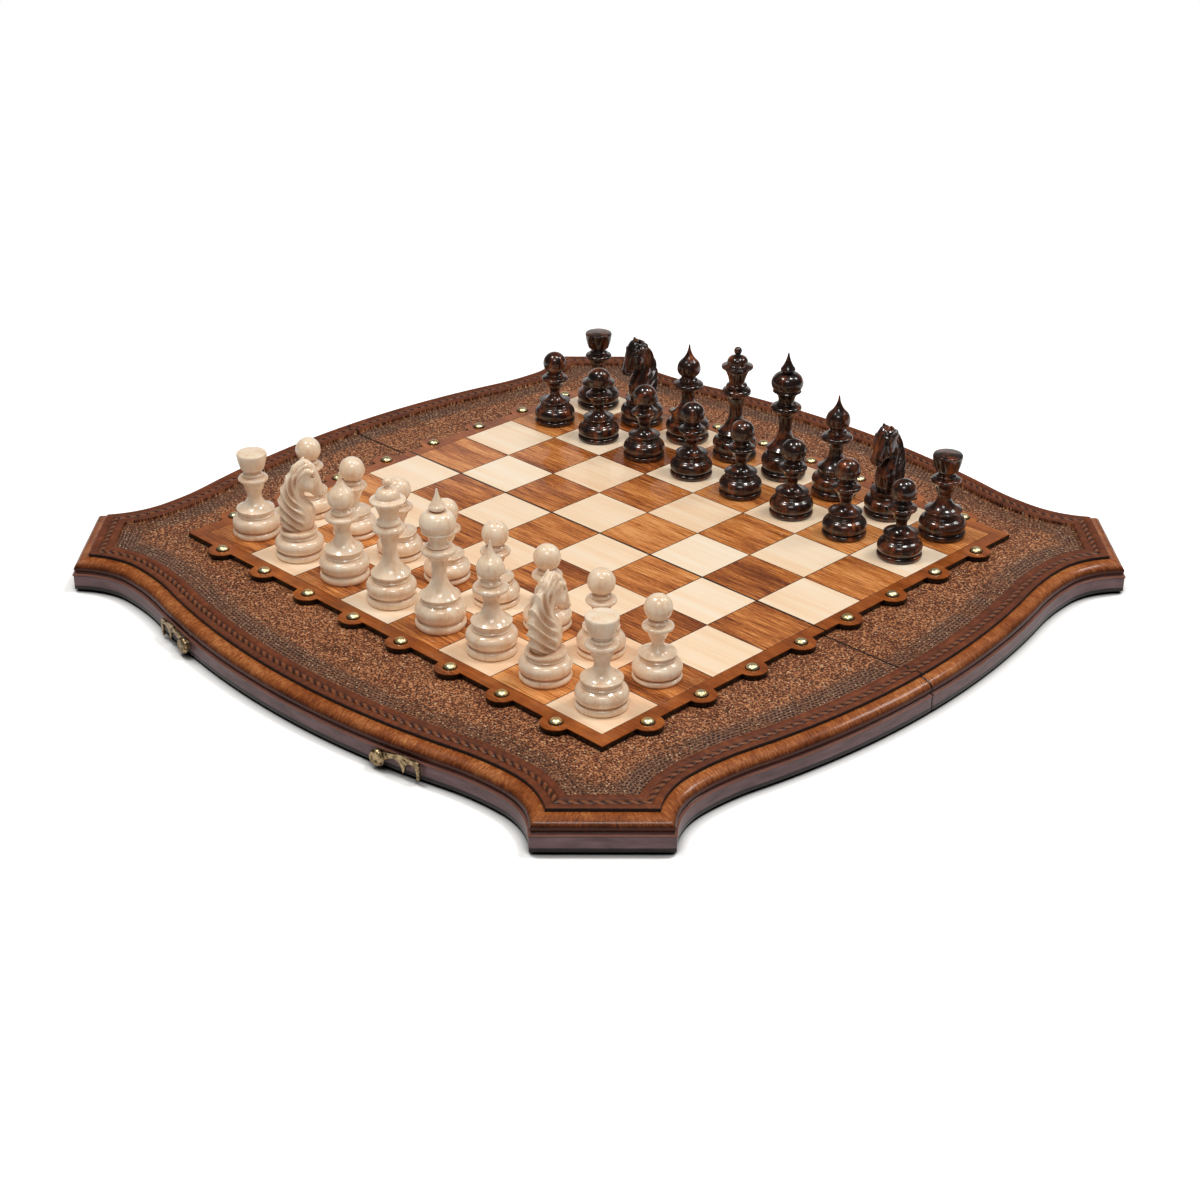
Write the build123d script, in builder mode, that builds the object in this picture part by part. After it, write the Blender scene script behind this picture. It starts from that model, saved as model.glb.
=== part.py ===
from build123d import *
import os
from math import asin, atan2, cos, degrees, radians, sin, sqrt

os.makedirs("parts", exist_ok=True)

# A folding wooden chess board with carved border, opened out flat, and its 32 men in their
# starting places. All sizes are in millimetres.
# X runs along the fold from file a to file h, Y from white's side to black's, Z is up.
# The origin is the middle of the open board, on the plane of the rims it stands on.

# Men's base, which also sets how deep the box is: a lying man fits between the two closed halves
base_radius = 17.25
stow_room = 0.1

# Playing board
square = 50.0
squares_across = 8
border_strip = 10.0
plate_thickness = 4.2
tile_thickness = 1.2
tile_gap = 0.3
tack_outset = 9.5
tack_drift = 6.0
tab_radius = 10.2

# Brass tacks
tack_radius = 4.75
tack_height = 2.8
tack_shank_radius = 0.9
tack_shank_length = 4.0
tack_hole_clearance = 0.05

# Plan outline of the box walls: every side swells in the middle, dips and flares to a cut-off corner
surround = 99.0
valley_along = 192.5
valley_depth = 22.5
valley_radius = 195.0
flare_radius = 58.0
flare_turn = 45.0

# Moulded frame
moulding_width = 10.0
rebate_width = 6.0
bullnose_rise = 5.5
cove_height = 3.6
cove_depth = 1.2
cove_flat = 1.2
bead_height = 1.6
bead_proud = 0.6
glue_gap = 0.05

# Carved panel
panel_floor = 3.45
bullnose_over_field = 0.5
band_rise = 3.2
ridge_width = 4.6
band_width = 14.9
cord_drop = 0.7

# Fold and its hinges
fold_gap = 0.2
fold_slit = 0.3
hinge_rail_width = 14.0
hinge_count = 3
hinge_spacing = 200.0
leaf_length = 40.0
leaf_width = 12.0
leaf_thickness = 1.0
knuckle_count = 3
barrel_radius = 1.3
pin_radius = 0.6
hinge_running_clearance = 0.05
knuckle_end_clearance = 0.1
barrel_room = 0.3
leaf_room = 0.05
hinge_screw_head_radius = 1.7
hinge_screw_radius = 0.8
hinge_screw_length = 8.0
hinge_screw_spacing = 14.0
hinge_screw_hole_clearance = 0.05

# Hook latches on white's wall, and the studs they close over on black's
latch_along = 100.0
latch_height = 6.4
stud_height = 7.0
washer_radius = 4.0
washer_thickness = 1.3
hook_thickness = 1.8
hook_play = 0.1
hook_running_clearance = 0.06
hook_eye_radius = 4.6
pivot_radius = 1.5
pivot_depth = 8.0
pivot_hole_clearance = 0.05
rosette_radius = 6.0
rosette_thickness = 2.2
stud_base_radius = 3.4
stud_neck_radius = 2.0
stud_head_radius = 3.2
stud_head_thickness = 1.3

# Derived places
field_half = square * squares_across / 2
plate_half = field_half + border_strip
tack_pitch = (2 * field_half - 2 * tack_drift) / squares_across
tray_depth = base_radius + stow_room
field_z = tray_depth + panel_floor
plate_top = field_z + plate_thickness
band_top = field_z + band_rise
bullnose_top = field_z + bullnose_over_field
bullnose_spring = bullnose_top - bullnose_rise
bead_top = bullnose_spring - cove_height
wall_top = bead_top - bead_height
rail_thickness = moulding_width + rebate_width
fold_axis_z = -fold_gap / 2

# Outline geometry, for a side that faces outward along its own second axis
apex = field_half + surround
valley = apex - valley_depth
swell_half_turn = 2 * asin(valley_depth / sqrt(valley_depth**2 + valley_along**2))
swell_radius = valley_along / sin(swell_half_turn) - valley_radius
flare_along = valley_along + flare_radius * sin(radians(flare_turn))
flare_out = valley + flare_radius * (1 - cos(radians(flare_turn)))


def flare_angle(inset):
    """Angle along the flare at which it meets the cut-off corner, both drawn inset by that much."""
    shift = flare_along + flare_out - inset * sqrt(2) - valley_along - valley - flare_radius
    reach = flare_radius + inset
    along = (shift + sqrt(2 * reach**2 - shift**2)) / 2
    return asin(along / reach)


def half_side(inset):
    """Points from the middle of a side to its corner, with each arc's middle point between its ends."""
    reach = swell_radius - inset
    dip = valley_radius + inset
    curl = flare_radius + inset
    end = flare_angle(inset)
    return [
        (0.0, apex - inset),
        (reach * sin(swell_half_turn), apex - swell_radius + reach * cos(swell_half_turn)),
        (valley_along - dip * sin(swell_half_turn / 2), valley + valley_radius - dip * cos(swell_half_turn / 2)),
        (valley_along, valley - inset),
        (valley_along + curl * sin(end / 2), valley + flare_radius - curl * cos(end / 2)),
        (valley_along + curl * sin(end), valley + flare_radius - curl * cos(end)),
    ]


def turned_point(point, turn):
    """A plan point turned about the origin by that many degrees."""
    c = cos(radians(turn))
    s = sin(radians(turn))
    return (point[0] * c - point[1] * s, point[0] * s + point[1] * c)


def outline(inset):
    """Draws the closed outline of the board's plan, drawn in by that much, as lines of a BuildLine."""
    right = half_side(inset)
    left = [(-x, y) for x, y in right]
    for turn in (0, 90, 180, 270):
        a = [turned_point(p, turn) for p in right]
        b = [turned_point(p, turn) for p in left]
        corner_end = turned_point(left[5], turn - 90)
        ThreePointArc(b[5], b[4], b[3])
        ThreePointArc(b[3], b[2], b[1])
        ThreePointArc(b[1], b[0], a[1])
        ThreePointArc(a[1], a[2], a[3])
        ThreePointArc(a[3], a[4], a[5])
        Line(a[5], corner_end)


def keep_half(side):
    """Cuts the sketch to one half of the board: side -1 is white's half and 1 is black's."""
    reach = 2 * (apex + flare_radius)
    with Locations((0, side * (fold_slit / 2 + reach / 2))):
        Rectangle(2 * reach, reach, mode=Mode.INTERSECT)


def section_plane(centre, direction):
    """Upright plane through a plan point, with its first axis along a plan direction."""
    return Plane(
        origin=(centre[0], centre[1], 0),
        x_dir=(direction[0], direction[1], 0),
        z_dir=(direction[1], -direction[0], 0),
    )


def moulding_section(plane, start, way):
    """The frame's section, drawn on the plane from the wall's face at start and inward by way (1 or -1)."""

    def at(inset, height):
        return (start + way * inset, height)

    def nose(turn):
        along = radians(turn)
        return at(moulding_width * (1 - cos(along)), bullnose_spring + bullnose_rise * sin(along))

    cove_top = bead_top + cove_flat
    with BuildSketch(plane) as section:
        with BuildLine():
            Line(at(0, 0), at(0, wall_top))
            ThreePointArc(at(0, wall_top), at(-bead_proud, (wall_top + bead_top) / 2), at(0, bead_top))
            Line(at(0, bead_top), at(cove_depth, bead_top))
            Line(at(cove_depth, bead_top), at(cove_depth, cove_top))
            ThreePointArc(
                at(cove_depth, cove_top),
                at(cove_depth / 4, (cove_top + bullnose_spring) / 2),
                nose(0),
            )
            ThreePointArc(nose(0), nose(22.5), nose(45))
            ThreePointArc(nose(45), nose(67.5), nose(90))
            Line(nose(90), at(moulding_width, tray_depth))
            Line(at(moulding_width, tray_depth), at(rail_thickness, tray_depth))
            Line(at(rail_thickness, tray_depth), at(rail_thickness, 0))
            Line(at(rail_thickness, 0), at(0, 0))
        make_face()
    return section.sketch


def swing_section(centre, direction, radius, way, turn):
    """Turns the frame's section about an upright axis; a negative turn is clockwise from above."""
    section = moulding_section(section_plane(centre, direction), radius, way)
    axis = Axis((centre[0], centre[1], 0), (0, 0, 1 if turn > 0 else -1))
    revolve(section, axis=axis, revolution_arc=abs(turn))


def mitre_plane(turn, hand):
    """Upright plane of a side's mitre, facing away from the side's middle."""
    outer = half_side(0)[5]
    inner = half_side(rail_thickness)[5]
    outer = turned_point((hand * outer[0], outer[1]), turn)
    inner = turned_point((hand * inner[0], inner[1]), turn)
    along = (inner[0] - outer[0], inner[1] - outer[1])
    return Plane(origin=(outer[0], outer[1], 0), z_dir=(-hand * along[1], hand * along[0], 0))


def fold_face(side):
    """Upright face of a half at the fold line, facing into that half."""
    return Plane(origin=(0, side * fold_slit / 2, 0), z_dir=(0, side, 0))


def frame_half_side(turn, hand):
    """Frame moulding from the middle of a side to past its corner, to be trimmed at the mitre."""
    half_turn = degrees(swell_half_turn)
    outward = turned_point((0, 1), turn)
    inward = turned_point((0, -1), turn)
    middle = turned_point((0, apex - swell_radius), turn)
    dip = turned_point((hand * valley_along, valley + valley_radius), turn)
    curl = turned_point((hand * valley_along, valley + flare_radius), turn)
    swing_section(middle, outward, swell_radius, -1, -hand * half_turn)
    swing_section(dip, inward, valley_radius, 1, -hand * half_turn)
    swing_section(curl, inward, flare_radius, 1, hand * (flare_turn + 6))


def side_rail(side, end):
    """The moulded rail at one end of a half, from the fold line to its corner."""
    turn = -90 * end
    hand = -side * end
    with BuildPart() as rail:
        frame_half_side(turn, hand)
        split(bisect_by=mitre_plane(turn, hand), keep=Keep.BOTTOM)
        split(bisect_by=fold_face(side), keep=Keep.TOP)
    return rail.part


def corner_block(side, end):
    """The short length of moulding across a half's cut-off corner, between its two mitres."""
    face_middle = (end * (flare_along + flare_out) / 2, side * (flare_along + flare_out) / 2)
    with BuildPart() as block:
        section = moulding_section(section_plane(face_middle, (-end / sqrt(2), -side / sqrt(2))), 0, 1)
        extrude(section, amount=flare_out - flare_along, both=True)
        split(bisect_by=mitre_plane(90 - 90 * side, end * side), keep=Keep.TOP)
        split(bisect_by=mitre_plane(-90 * end, -end * side), keep=Keep.TOP)
    return block.part


def save(piece, name):
    """Labels a finished sub-part and writes it under that name."""
    piece.part.label = name
    export_step(piece.part, "parts/" + name + ".step")


def tack_places(side):
    """Plan places of the tacks on one half: its outer edge, then its two ends."""
    line = field_half + tack_outset
    steps = [(i + 0.5) * tack_pitch for i in range(squares_across // 2)]
    places = [(x, side * line) for x in [-s for s in steps] + steps]
    places += [(end * line, side * s) for end in (-1, 1) for s in steps]
    return places


hinge_places = [(i - (hinge_count - 1) / 2) * hinge_spacing for i in range(hinge_count)]
hinge_screw_offsets = [-hinge_screw_spacing, 0.0, hinge_screw_spacing]
hinge_screw_line = (leaf_width + barrel_radius + barrel_room) / 2

# The board, half by half. Side -1 is white's half, which carries the hooks, and 1 is black's.
for half, side, outer_turn in (("near", -1, 180), ("far", 1, 0)):
    fitting_height = latch_height if side < 0 else stud_height
    rails = [side_rail(side, end) for end in (-1, 1)]
    blocks = [corner_block(side, end) for end in (-1, 1)]

    with BuildPart() as outer_rail:
        frame_half_side(outer_turn, -1)
        frame_half_side(outer_turn, 1)
        split(bisect_by=mitre_plane(outer_turn, -1), keep=Keep.BOTTOM)
        split(bisect_by=mitre_plane(outer_turn, 1), keep=Keep.BOTTOM)
        # holes for the latch pivots on the near wall, or for the catch studs on the far wall
        for hand in (-1, 1):
            lean = asin(latch_along / swell_radius)
            wall_y = apex - swell_radius + swell_radius * cos(lean)
            with BuildSketch(
                Plane(
                    origin=(hand * latch_along, side * wall_y, fitting_height),
                    z_dir=(-hand * sin(lean), -side * cos(lean), 0),
                )
            ):
                Circle(pivot_radius + pivot_hole_clearance)
            extrude(amount=pivot_depth + hook_play, mode=Mode.SUBTRACT)
    save(outer_rail, half + "_outer_rail")

    with BuildPart() as side_rails:
        add(rails)
    save(side_rails, half + "_side_rails")

    with BuildPart() as corner_blocks:
        add(blocks)
    save(corner_blocks, half + "_corner_blocks")

    with BuildPart() as hinge_rail:
        with BuildSketch():
            with BuildLine():
                outline(rail_thickness + glue_gap)
            make_face()
            with Locations((0, side * (fold_slit / 2 + hinge_rail_width / 2))):
                Rectangle(4 * apex, hinge_rail_width, mode=Mode.INTERSECT)
        extrude(amount=tray_depth)
        # mortises for the leaves, and a round groove that clears the barrels
        for x in hinge_places:
            with BuildSketch(Plane.XY):
                with Locations((x, side * leaf_width / 2)):
                    Rectangle(leaf_length + 2 * leaf_room, leaf_width + 2 * leaf_room)
            extrude(amount=leaf_thickness, mode=Mode.SUBTRACT)
            with BuildSketch(Plane.YZ.offset(x - leaf_length / 2 - leaf_room)):
                with Locations((0, fold_axis_z)):
                    Circle(barrel_radius + barrel_room)
            extrude(amount=leaf_length + 2 * leaf_room, mode=Mode.SUBTRACT)
            with BuildSketch(Plane.XY.offset(leaf_thickness)):
                with Locations([(x + o, side * hinge_screw_line) for o in hinge_screw_offsets]):
                    Circle(hinge_screw_radius + hinge_screw_hole_clearance)
            extrude(amount=hinge_screw_length, mode=Mode.SUBTRACT)
    save(hinge_rail, half + "_hinge_rail")

    with BuildPart() as field_panel:
        with BuildSketch(Plane.XY.offset(tray_depth)):
            with BuildLine():
                outline(moulding_width + glue_gap)
            make_face()
            keep_half(side)
        extrude(amount=panel_floor + band_rise)
        # the punched field, sunk inside the border band
        with BuildSketch(Plane.XY.offset(field_z)):
            with BuildLine():
                outline(moulding_width + glue_gap + band_width)
            make_face()
        extrude(amount=band_rise, mode=Mode.SUBTRACT)
        # the channel in the band where the twisted cord is carved
        with BuildSketch(Plane.XY.offset(band_top)):
            with BuildLine():
                outline(moulding_width + glue_gap + ridge_width)
            make_face()
            with BuildLine():
                outline(moulding_width + glue_gap + band_width - ridge_width)
            make_face(mode=Mode.SUBTRACT)
        extrude(amount=-cord_drop, mode=Mode.SUBTRACT)
    save(field_panel, half + "_field_panel")

    with BuildPart() as play_plate:
        with BuildSketch(Plane.XY.offset(field_z)):
            Rectangle(2 * plate_half, 2 * plate_half)
            with Locations(tack_places(side)):
                Circle(tab_radius)
            keep_half(side)
        extrude(amount=plate_thickness)
        with BuildSketch(Plane.XY.offset(plate_top)):
            Rectangle(2 * field_half, 2 * field_half)
        extrude(amount=-tile_thickness, mode=Mode.SUBTRACT)
        with BuildSketch(Plane.XY.offset(plate_top)):
            with Locations(tack_places(side)):
                Circle(tack_shank_radius + tack_hole_clearance)
        extrude(amount=-tack_shank_length - tack_hole_clearance, mode=Mode.SUBTRACT)
    save(play_plate, half + "_play_plate")

    for colour, parity in (("dark", 0), ("light", 1)):
        with BuildPart() as squares:
            rows = range(squares_across // 2) if side < 0 else range(squares_across // 2, squares_across)
            with BuildSketch(Plane.XY.offset(plate_top - tile_thickness)):
                with Locations(
                    [
                        ((i + 0.5) * square - field_half, (j + 0.5) * square - field_half)
                        for j in rows
                        for i in range(squares_across)
                        if (i + j) % 2 == parity
                    ]
                ):
                    Rectangle(square - tile_gap, square - tile_gap)
            extrude(amount=tile_thickness)
        save(squares, half + "_" + colour + "_squares")

    with BuildPart() as tacks:
        cap_radius = (tack_radius**2 + tack_height**2) / (2 * tack_height)
        cap_turn = asin(tack_radius / cap_radius) / 2
        for x, y in tack_places(side):
            with BuildSketch(section_plane((x, y), (1, 0))):
                with BuildLine():
                    ThreePointArc(
                        (tack_radius, plate_top),
                        (
                            cap_radius * sin(cap_turn),
                            plate_top + tack_height - cap_radius * (1 - cos(cap_turn)),
                        ),
                        (0, plate_top + tack_height),
                    )
                    Polyline(
                        (0, plate_top + tack_height),
                        (0, plate_top - tack_shank_length),
                        (tack_shank_radius, plate_top - tack_shank_length + tack_shank_radius),
                        (tack_shank_radius, plate_top),
                        (tack_radius, plate_top),
                    )
                make_face()
            revolve(axis=Axis((x, y, 0), (0, 0, 1)))
    save(tacks, half + "_tacks")

    # hinge leaves: the near leaves carry the outer knuckles, and the far leaves the middle one
    knuckle_length = leaf_length / knuckle_count
    with BuildPart() as hinge_leaves:
        for x in hinge_places:
            inner_edge = barrel_radius + barrel_room
            with BuildSketch(Plane.XY):
                with Locations((x, side * (leaf_width + inner_edge) / 2)):
                    Rectangle(leaf_length, leaf_width - inner_edge)
            extrude(amount=leaf_thickness)
            for k in range(knuckle_count):
                if k % 2 == (0 if side < 0 else 1):
                    low = x - leaf_length / 2 + k * knuckle_length + (k > 0) * knuckle_end_clearance / 2
                    high = (
                        x
                        - leaf_length / 2
                        + (k + 1) * knuckle_length
                        - (k < knuckle_count - 1) * knuckle_end_clearance / 2
                    )
                    with BuildSketch(Plane.YZ.offset(low)):
                        with Locations((0, fold_axis_z)):
                            Circle(barrel_radius)
                        with Locations((side * inner_edge / 2, leaf_thickness / 2)):
                            Rectangle(inner_edge, leaf_thickness)
                    extrude(amount=high - low)
            with BuildSketch(Plane.YZ.offset(x - leaf_length / 2)):
                with Locations((0, fold_axis_z)):
                    Circle(pin_radius + (hinge_running_clearance if side > 0 else 0))
            extrude(amount=leaf_length, mode=Mode.SUBTRACT)
            for o in hinge_screw_offsets:
                with BuildSketch(section_plane((x + o, side * hinge_screw_line), (1, 0))):
                    with BuildLine():
                        Polyline(
                            (0, 0),
                            (hinge_screw_head_radius, 0),
                            (hinge_screw_radius + hinge_screw_hole_clearance, leaf_thickness),
                            (0, leaf_thickness),
                            close=True,
                        )
                    make_face()
                revolve(axis=Axis((x + o, side * hinge_screw_line, 0), (0, 0, 1)), mode=Mode.SUBTRACT)
    save(hinge_leaves, "hinge_leaves_" + half)

    with BuildPart() as hinge_screws:
        for x in hinge_places:
            for o in hinge_screw_offsets:
                with BuildSketch(section_plane((x + o, side * hinge_screw_line), (1, 0))):
                    with BuildLine():
                        Polyline(
                            (0, 0),
                            (hinge_screw_head_radius - hinge_screw_hole_clearance, 0),
                            (hinge_screw_radius, leaf_thickness),
                            (hinge_screw_radius, hinge_screw_length - 2 * hinge_screw_radius),
                            (0, hinge_screw_length),
                            close=True,
                        )
                    make_face()
                revolve(axis=Axis((x + o, side * hinge_screw_line, 0), (0, 0, 1)))
    save(hinge_screws, "hinge_screws_" + half)

with BuildPart() as hinge_pins:
    for x in hinge_places:
        with BuildSketch(Plane.YZ.offset(x - leaf_length / 2)):
            with Locations((0, fold_axis_z)):
                Circle(pin_radius)
        extrude(amount=leaf_length)
save(hinge_pins, "hinge_pins")


def wall_plane(side, hand, height, out):
    """Plane on the outer wall at a latch, facing outward, with its second axis up, moved out by that much."""
    lean = asin(latch_along / swell_radius)
    reach = apex - swell_radius + swell_radius * cos(lean)
    normal = (hand * sin(lean), side * cos(lean))
    return Plane(
        origin=(hand * latch_along + out * normal[0], side * reach + out * normal[1], height),
        x_dir=(-normal[1], normal[0], 0),
        z_dir=(normal[0], normal[1], 0),
    )


hook_back = washer_thickness + hook_play
hook_front = hook_back + hook_thickness
stud_reach = latch_height + fold_gap + stud_height

with BuildPart() as latch_washers:
    for hand in (-1, 1):
        with BuildSketch(wall_plane(-1, hand, latch_height, 0)):
            Circle(washer_radius)
            Circle(pivot_radius + pivot_hole_clearance, mode=Mode.SUBTRACT)
        extrude(amount=washer_thickness)
save(latch_washers, "latch_washers")

with BuildPart() as latch_pivots:
    for hand in (-1, 1):
        with BuildSketch(wall_plane(-1, hand, latch_height, -pivot_depth)):
            Circle(pivot_radius)
        extrude(amount=pivot_depth + hook_front + hook_play)
        with BuildSketch(wall_plane(-1, hand, latch_height, hook_front + hook_play)):
            Circle(rosette_radius)
        extrude(amount=rosette_thickness, taper=30)
save(latch_pivots, "latch_pivots")

# Each hook is drawn parked, pointing along the wall to its corner. Its pocket is round the place
# where the stud comes when the hook is turned down over the closed box.
for name, hand in (("latch_hook_left", -1), ("latch_hook_right", 1)):
    with BuildPart() as hook:
        with BuildSketch(wall_plane(-1, hand, latch_height, hook_back)):
            pocket = stud_neck_radius + 1.2
            with BuildLine():
                Spline(
                    (hand * 2.0, 4.1),
                    (hand * 8.0, 5.9),
                    (hand * (stud_reach + 0.4), 6.9),
                    (hand * (stud_reach + 5.4), 8.1),
                    (hand * (stud_reach + 11.4), 7.0),
                    (hand * (stud_reach + 16.4), 7.3),
                    (hand * (stud_reach + 19.4), 5.6),
                )
                Spline(
                    (hand * (stud_reach + 19.4), 5.6),
                    (hand * (stud_reach + 19.9), 1.0),
                    (hand * (stud_reach + 18.6), -5.2),
                )
                ThreePointArc(
                    (hand * (stud_reach + 18.6), -5.2),
                    (hand * (stud_reach + 17.7), -5.9),
                    (hand * (stud_reach + 17.0), -5.1),
                )
                Spline(
                    (hand * (stud_reach + 17.0), -5.1),
                    (hand * (stud_reach + 17.3), 0.0),
                    (hand * (stud_reach + 15.4), 3.6),
                    (hand * (stud_reach + 11.8), 4.0),
                    (hand * (stud_reach + 9.0), 1.4),
                    (hand * (stud_reach + 7.6), -3.4),
                )
                ThreePointArc(
                    (hand * (stud_reach + 7.6), -3.4),
                    (hand * (stud_reach + 7.0), -3.9),
                    (hand * (stud_reach + 6.4), -3.4),
                )
                Spline(
                    (hand * (stud_reach + 6.4), -3.4),
                    (hand * (stud_reach + pocket + 1.8), 0.2),
                    (hand * (stud_reach + pocket - 0.4), pocket - 0.6),
                    (hand * stud_reach, pocket + 0.4),
                    (hand * (stud_reach - pocket), pocket - 0.4),
                    (hand * 7.2, 1.0),
                    (hand * 2.6, -3.8),
                )
                Line((hand * 2.6, -3.8), (hand * 2.0, 4.1))
            make_face()
            Circle(hook_eye_radius)
            Circle(pivot_radius + hook_running_clearance, mode=Mode.SUBTRACT)
        extrude(amount=hook_thickness)
    save(hook, name)

with BuildPart() as catch_studs:
    for hand in (-1, 1):
        with BuildSketch(wall_plane(1, hand, stud_height, -pivot_depth)):
            Circle(pivot_radius)
        extrude(amount=pivot_depth)
        with BuildSketch(wall_plane(1, hand, stud_height, 0)):
            Circle(stud_base_radius)
        extrude(amount=washer_thickness)
        with BuildSketch(wall_plane(1, hand, stud_height, washer_thickness)):
            Circle(stud_neck_radius)
        extrude(amount=hook_front + hook_play - washer_thickness)
        with BuildSketch(wall_plane(1, hand, stud_height, hook_front + hook_play)):
            Circle(stud_head_radius)
        extrude(amount=stud_head_thickness, taper=20)
save(catch_studs, "catch_studs")


# The men. A turned man's outline is a list of steps from the middle of his foot to his top: a step
# of two numbers is a straight line to that radius and height, a step of four is an arc through the
# first radius and height to the second, and a step of one is a ball up to that height on the axis.
def turned_base(foot, foot_height, cushion, cushion_z, cushion_top, ring, ring_z, rim, rim_z):
    """The foot, the cushion above its groove, the thin ring, and the rim where the waist starts."""
    groove = foot - 2.1
    return [
        (foot - 1.2, 0.0),
        (foot, 0.42 * foot_height, foot - 1.2, foot_height),
        (groove, foot_height + 0.3),
        (groove, foot_height + 1.0),
        (cushion - 0.5, (foot_height + 1.0 + cushion_z) / 2, cushion, cushion_z),
        (cushion - 1.0, (cushion_z + 2 * cushion_top) / 3, ring + 0.5, cushion_top),
        (ring - 0.4, ring_z - 0.7),
        (ring, ring_z, ring - 0.4, ring_z + 0.7),
        (ring - 0.9, ring_z + 1.0),
        (rim - 0.3, rim_z - 1.0),
        (rim, rim_z - 0.5, rim - 0.4, rim_z),
    ]


king_outline = turned_base(base_radius, 5.5, 17.0, 13.3, 17.7, 13.25, 18.95, 13.75, 23.25) + [
    (7.4, 29.6, 4.9, 39.5),
    (5.1, 44.0, 5.9, 47.5),
    (7.6, 51.0, 10.6, 53.4),
    (11.75, 55.3, 10.2, 57.3),
    (7.0, 57.9),
    (7.65, 58.7, 6.8, 59.6),
    (6.0, 60.2),
    (6.2, 61.6),
    (7.6, 66.0, 11.05, 68.6),
    (10.3, 69.4),
    (10.0, 70.0),
    (12.15, 74.9, 11.3, 78.6),
    (8.6, 81.9, 3.9, 83.2),
    (3.5, 83.6),
    (5.55, 85.3, 4.7, 87.6),
    (2.3, 92.2, 0.6, 98.6),
    (99.15,),
]
queen_outline = turned_base(base_radius, 5.5, 17.0, 13.3, 16.2, 13.2, 17.3, 13.75, 22.0) + [
    (7.6, 28.0, 5.2, 37.5),
    (5.5, 43.4, 7.0, 48.0),
    (8.2, 50.4, 10.2, 52.2),
    (11.25, 54.4, 9.6, 56.6),
    (7.6, 57.2),
    (8.3, 58.9, 7.4, 60.4),
    (6.0, 61.4),
    (6.0, 62.0),
    (7.3, 67.0, 9.5, 72.0),
    (12.25, 73.9),
    (12.2, 75.2),
    (10.2, 75.6),
    (7.9, 76.8),
    (7.5, 80.6, 4.6, 83.0),
    (2.0, 83.9),
    (2.0, 84.9),
    (90.35,),
]
bishop_outline = turned_base(base_radius, 5.5, 17.0, 13.3, 16.2, 13.2, 17.2, 13.75, 22.75) + [
    (7.6, 27.6, 5.15, 35.0),
    (5.5, 38.4, 6.7, 40.9),
    (8.0, 42.4, 10.4, 43.9),
    (11.8, 45.8, 10.2, 47.6),
    (7.0, 48.1),
    (7.35, 49.5, 6.7, 50.8),
    (5.75, 51.6),
    (5.75, 53.4),
    (8.6, 56.3, 9.1, 60.4),
    (8.5, 64.2, 6.3, 67.6),
    (2.6, 73.2, 0.6, 78.6),
    (79.2,),
]
rook_outline = turned_base(base_radius, 4.6, 17.0, 10.6, 14.5, 13.25, 15.65, 13.75, 20.5) + [
    (7.4, 24.4, 5.0, 29.0),
    (5.5, 32.6, 6.75, 35.3),
    (7.6, 38.2, 9.8, 41.4),
    (10.75, 43.0, 9.4, 44.6),
    (6.9, 45.1),
    (7.3, 46.0, 6.7, 47.0),
    (5.6, 47.8),
    (5.9, 48.8),
    (8.2, 50.5),
    (9.6, 54.6, 10.75, 61.2),
    (10.75, 62.0),
    (10.3, 62.8),
    (63.5,),
]
pawn_outline = turned_base(16.25, 3.9, 16.15, 8.75, 13.4, 12.0, 15.0, 12.45, 18.85) + [
    (6.2, 20.6, 3.95, 23.85),
    (4.2, 27.0, 5.65, 29.6),
    (7.2, 33.4, 9.4, 35.6),
    (10.35, 37.1, 9.0, 38.5),
    (6.5, 39.1),
    (6.9, 40.3, 6.2, 41.3),
    (5.0, 42.2),
    (59.1,),
]
knight_base_outline = turned_base(base_radius, 4.6, 17.1, 11.0, 14.6, 13.0, 15.6, 13.4, 19.6) + [
    (13.0, 20.4),
    (0.0, 20.4),
]

# The knight's neck and head, cut from a slab on his turned base
knight_foot_z = 20.4
knight_height = 73.5
knight_half_width = 7.25
knight_crown_half_width = 4.6
knight_crown_share = 0.72
# Seen from his side, each point is how far forward of the middle, and its share of the way from
# the base's top to the crown: up the mane to the crown, then down the face, under the jaw and
# down the chest
knight_mane = [
    (-10.8, 0.0),
    (-13.6, 0.12),
    (-14.6, 0.29),
    (-13.4, 0.5),
    (-9.4, 0.7),
    (-3.4, 0.86),
    (2.0, 0.957),
    (6.4, 1.0),
]
knight_face = [
    (6.4, 1.0),
    (10.6, 0.945),
    (14.4, 0.868),
    (16.6, 0.765),
    (18.2, 0.652),
    (19.4, 0.548),
    (19.5, 0.47),
    (17.4, 0.412),
    (14.0, 0.42),
    (10.4, 0.49),
    (6.8, 0.535),
    (5.8, 0.48),
    (8.2, 0.4),
    (11.0, 0.3),
    (11.8, 0.17),
    (10.6, 0.0),
]


def turned_man(plane, steps):
    """Turns a man's outline about the upright axis through his plane's origin."""
    with BuildSketch(plane) as outline_face:
        with BuildLine():
            last = (0.0, 0.0)
            for step in steps:
                if len(step) == 1:
                    rise = step[0] - last[1]
                    ball = (last[0] ** 2 + rise**2) / (2 * rise)
                    middle = atan2(last[0], ball - rise) / 2
                    cap = (ball * sin(middle), step[0] - ball + ball * cos(middle))
                    step = (cap[0], cap[1], 0.0, step[0])
                if len(step) == 2:
                    Line(last, step)
                else:
                    ThreePointArc(last, step[:2], step[2:])
                last = step[-2:]
            Line(last, (0.0, 0.0))
        make_face()
    revolve(outline_face.sketch, axis=Axis(plane.origin, (0, 0, 1)))


def man_plane(x, y, heading):
    """Upright plane through a man's axis, with its first axis the way he faces, standing on the board."""
    c = cos(radians(heading))
    s = sin(radians(heading))
    return Plane(origin=(x, y, plate_top), x_dir=(c, s, 0), z_dir=(s, -c, 0))


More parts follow.
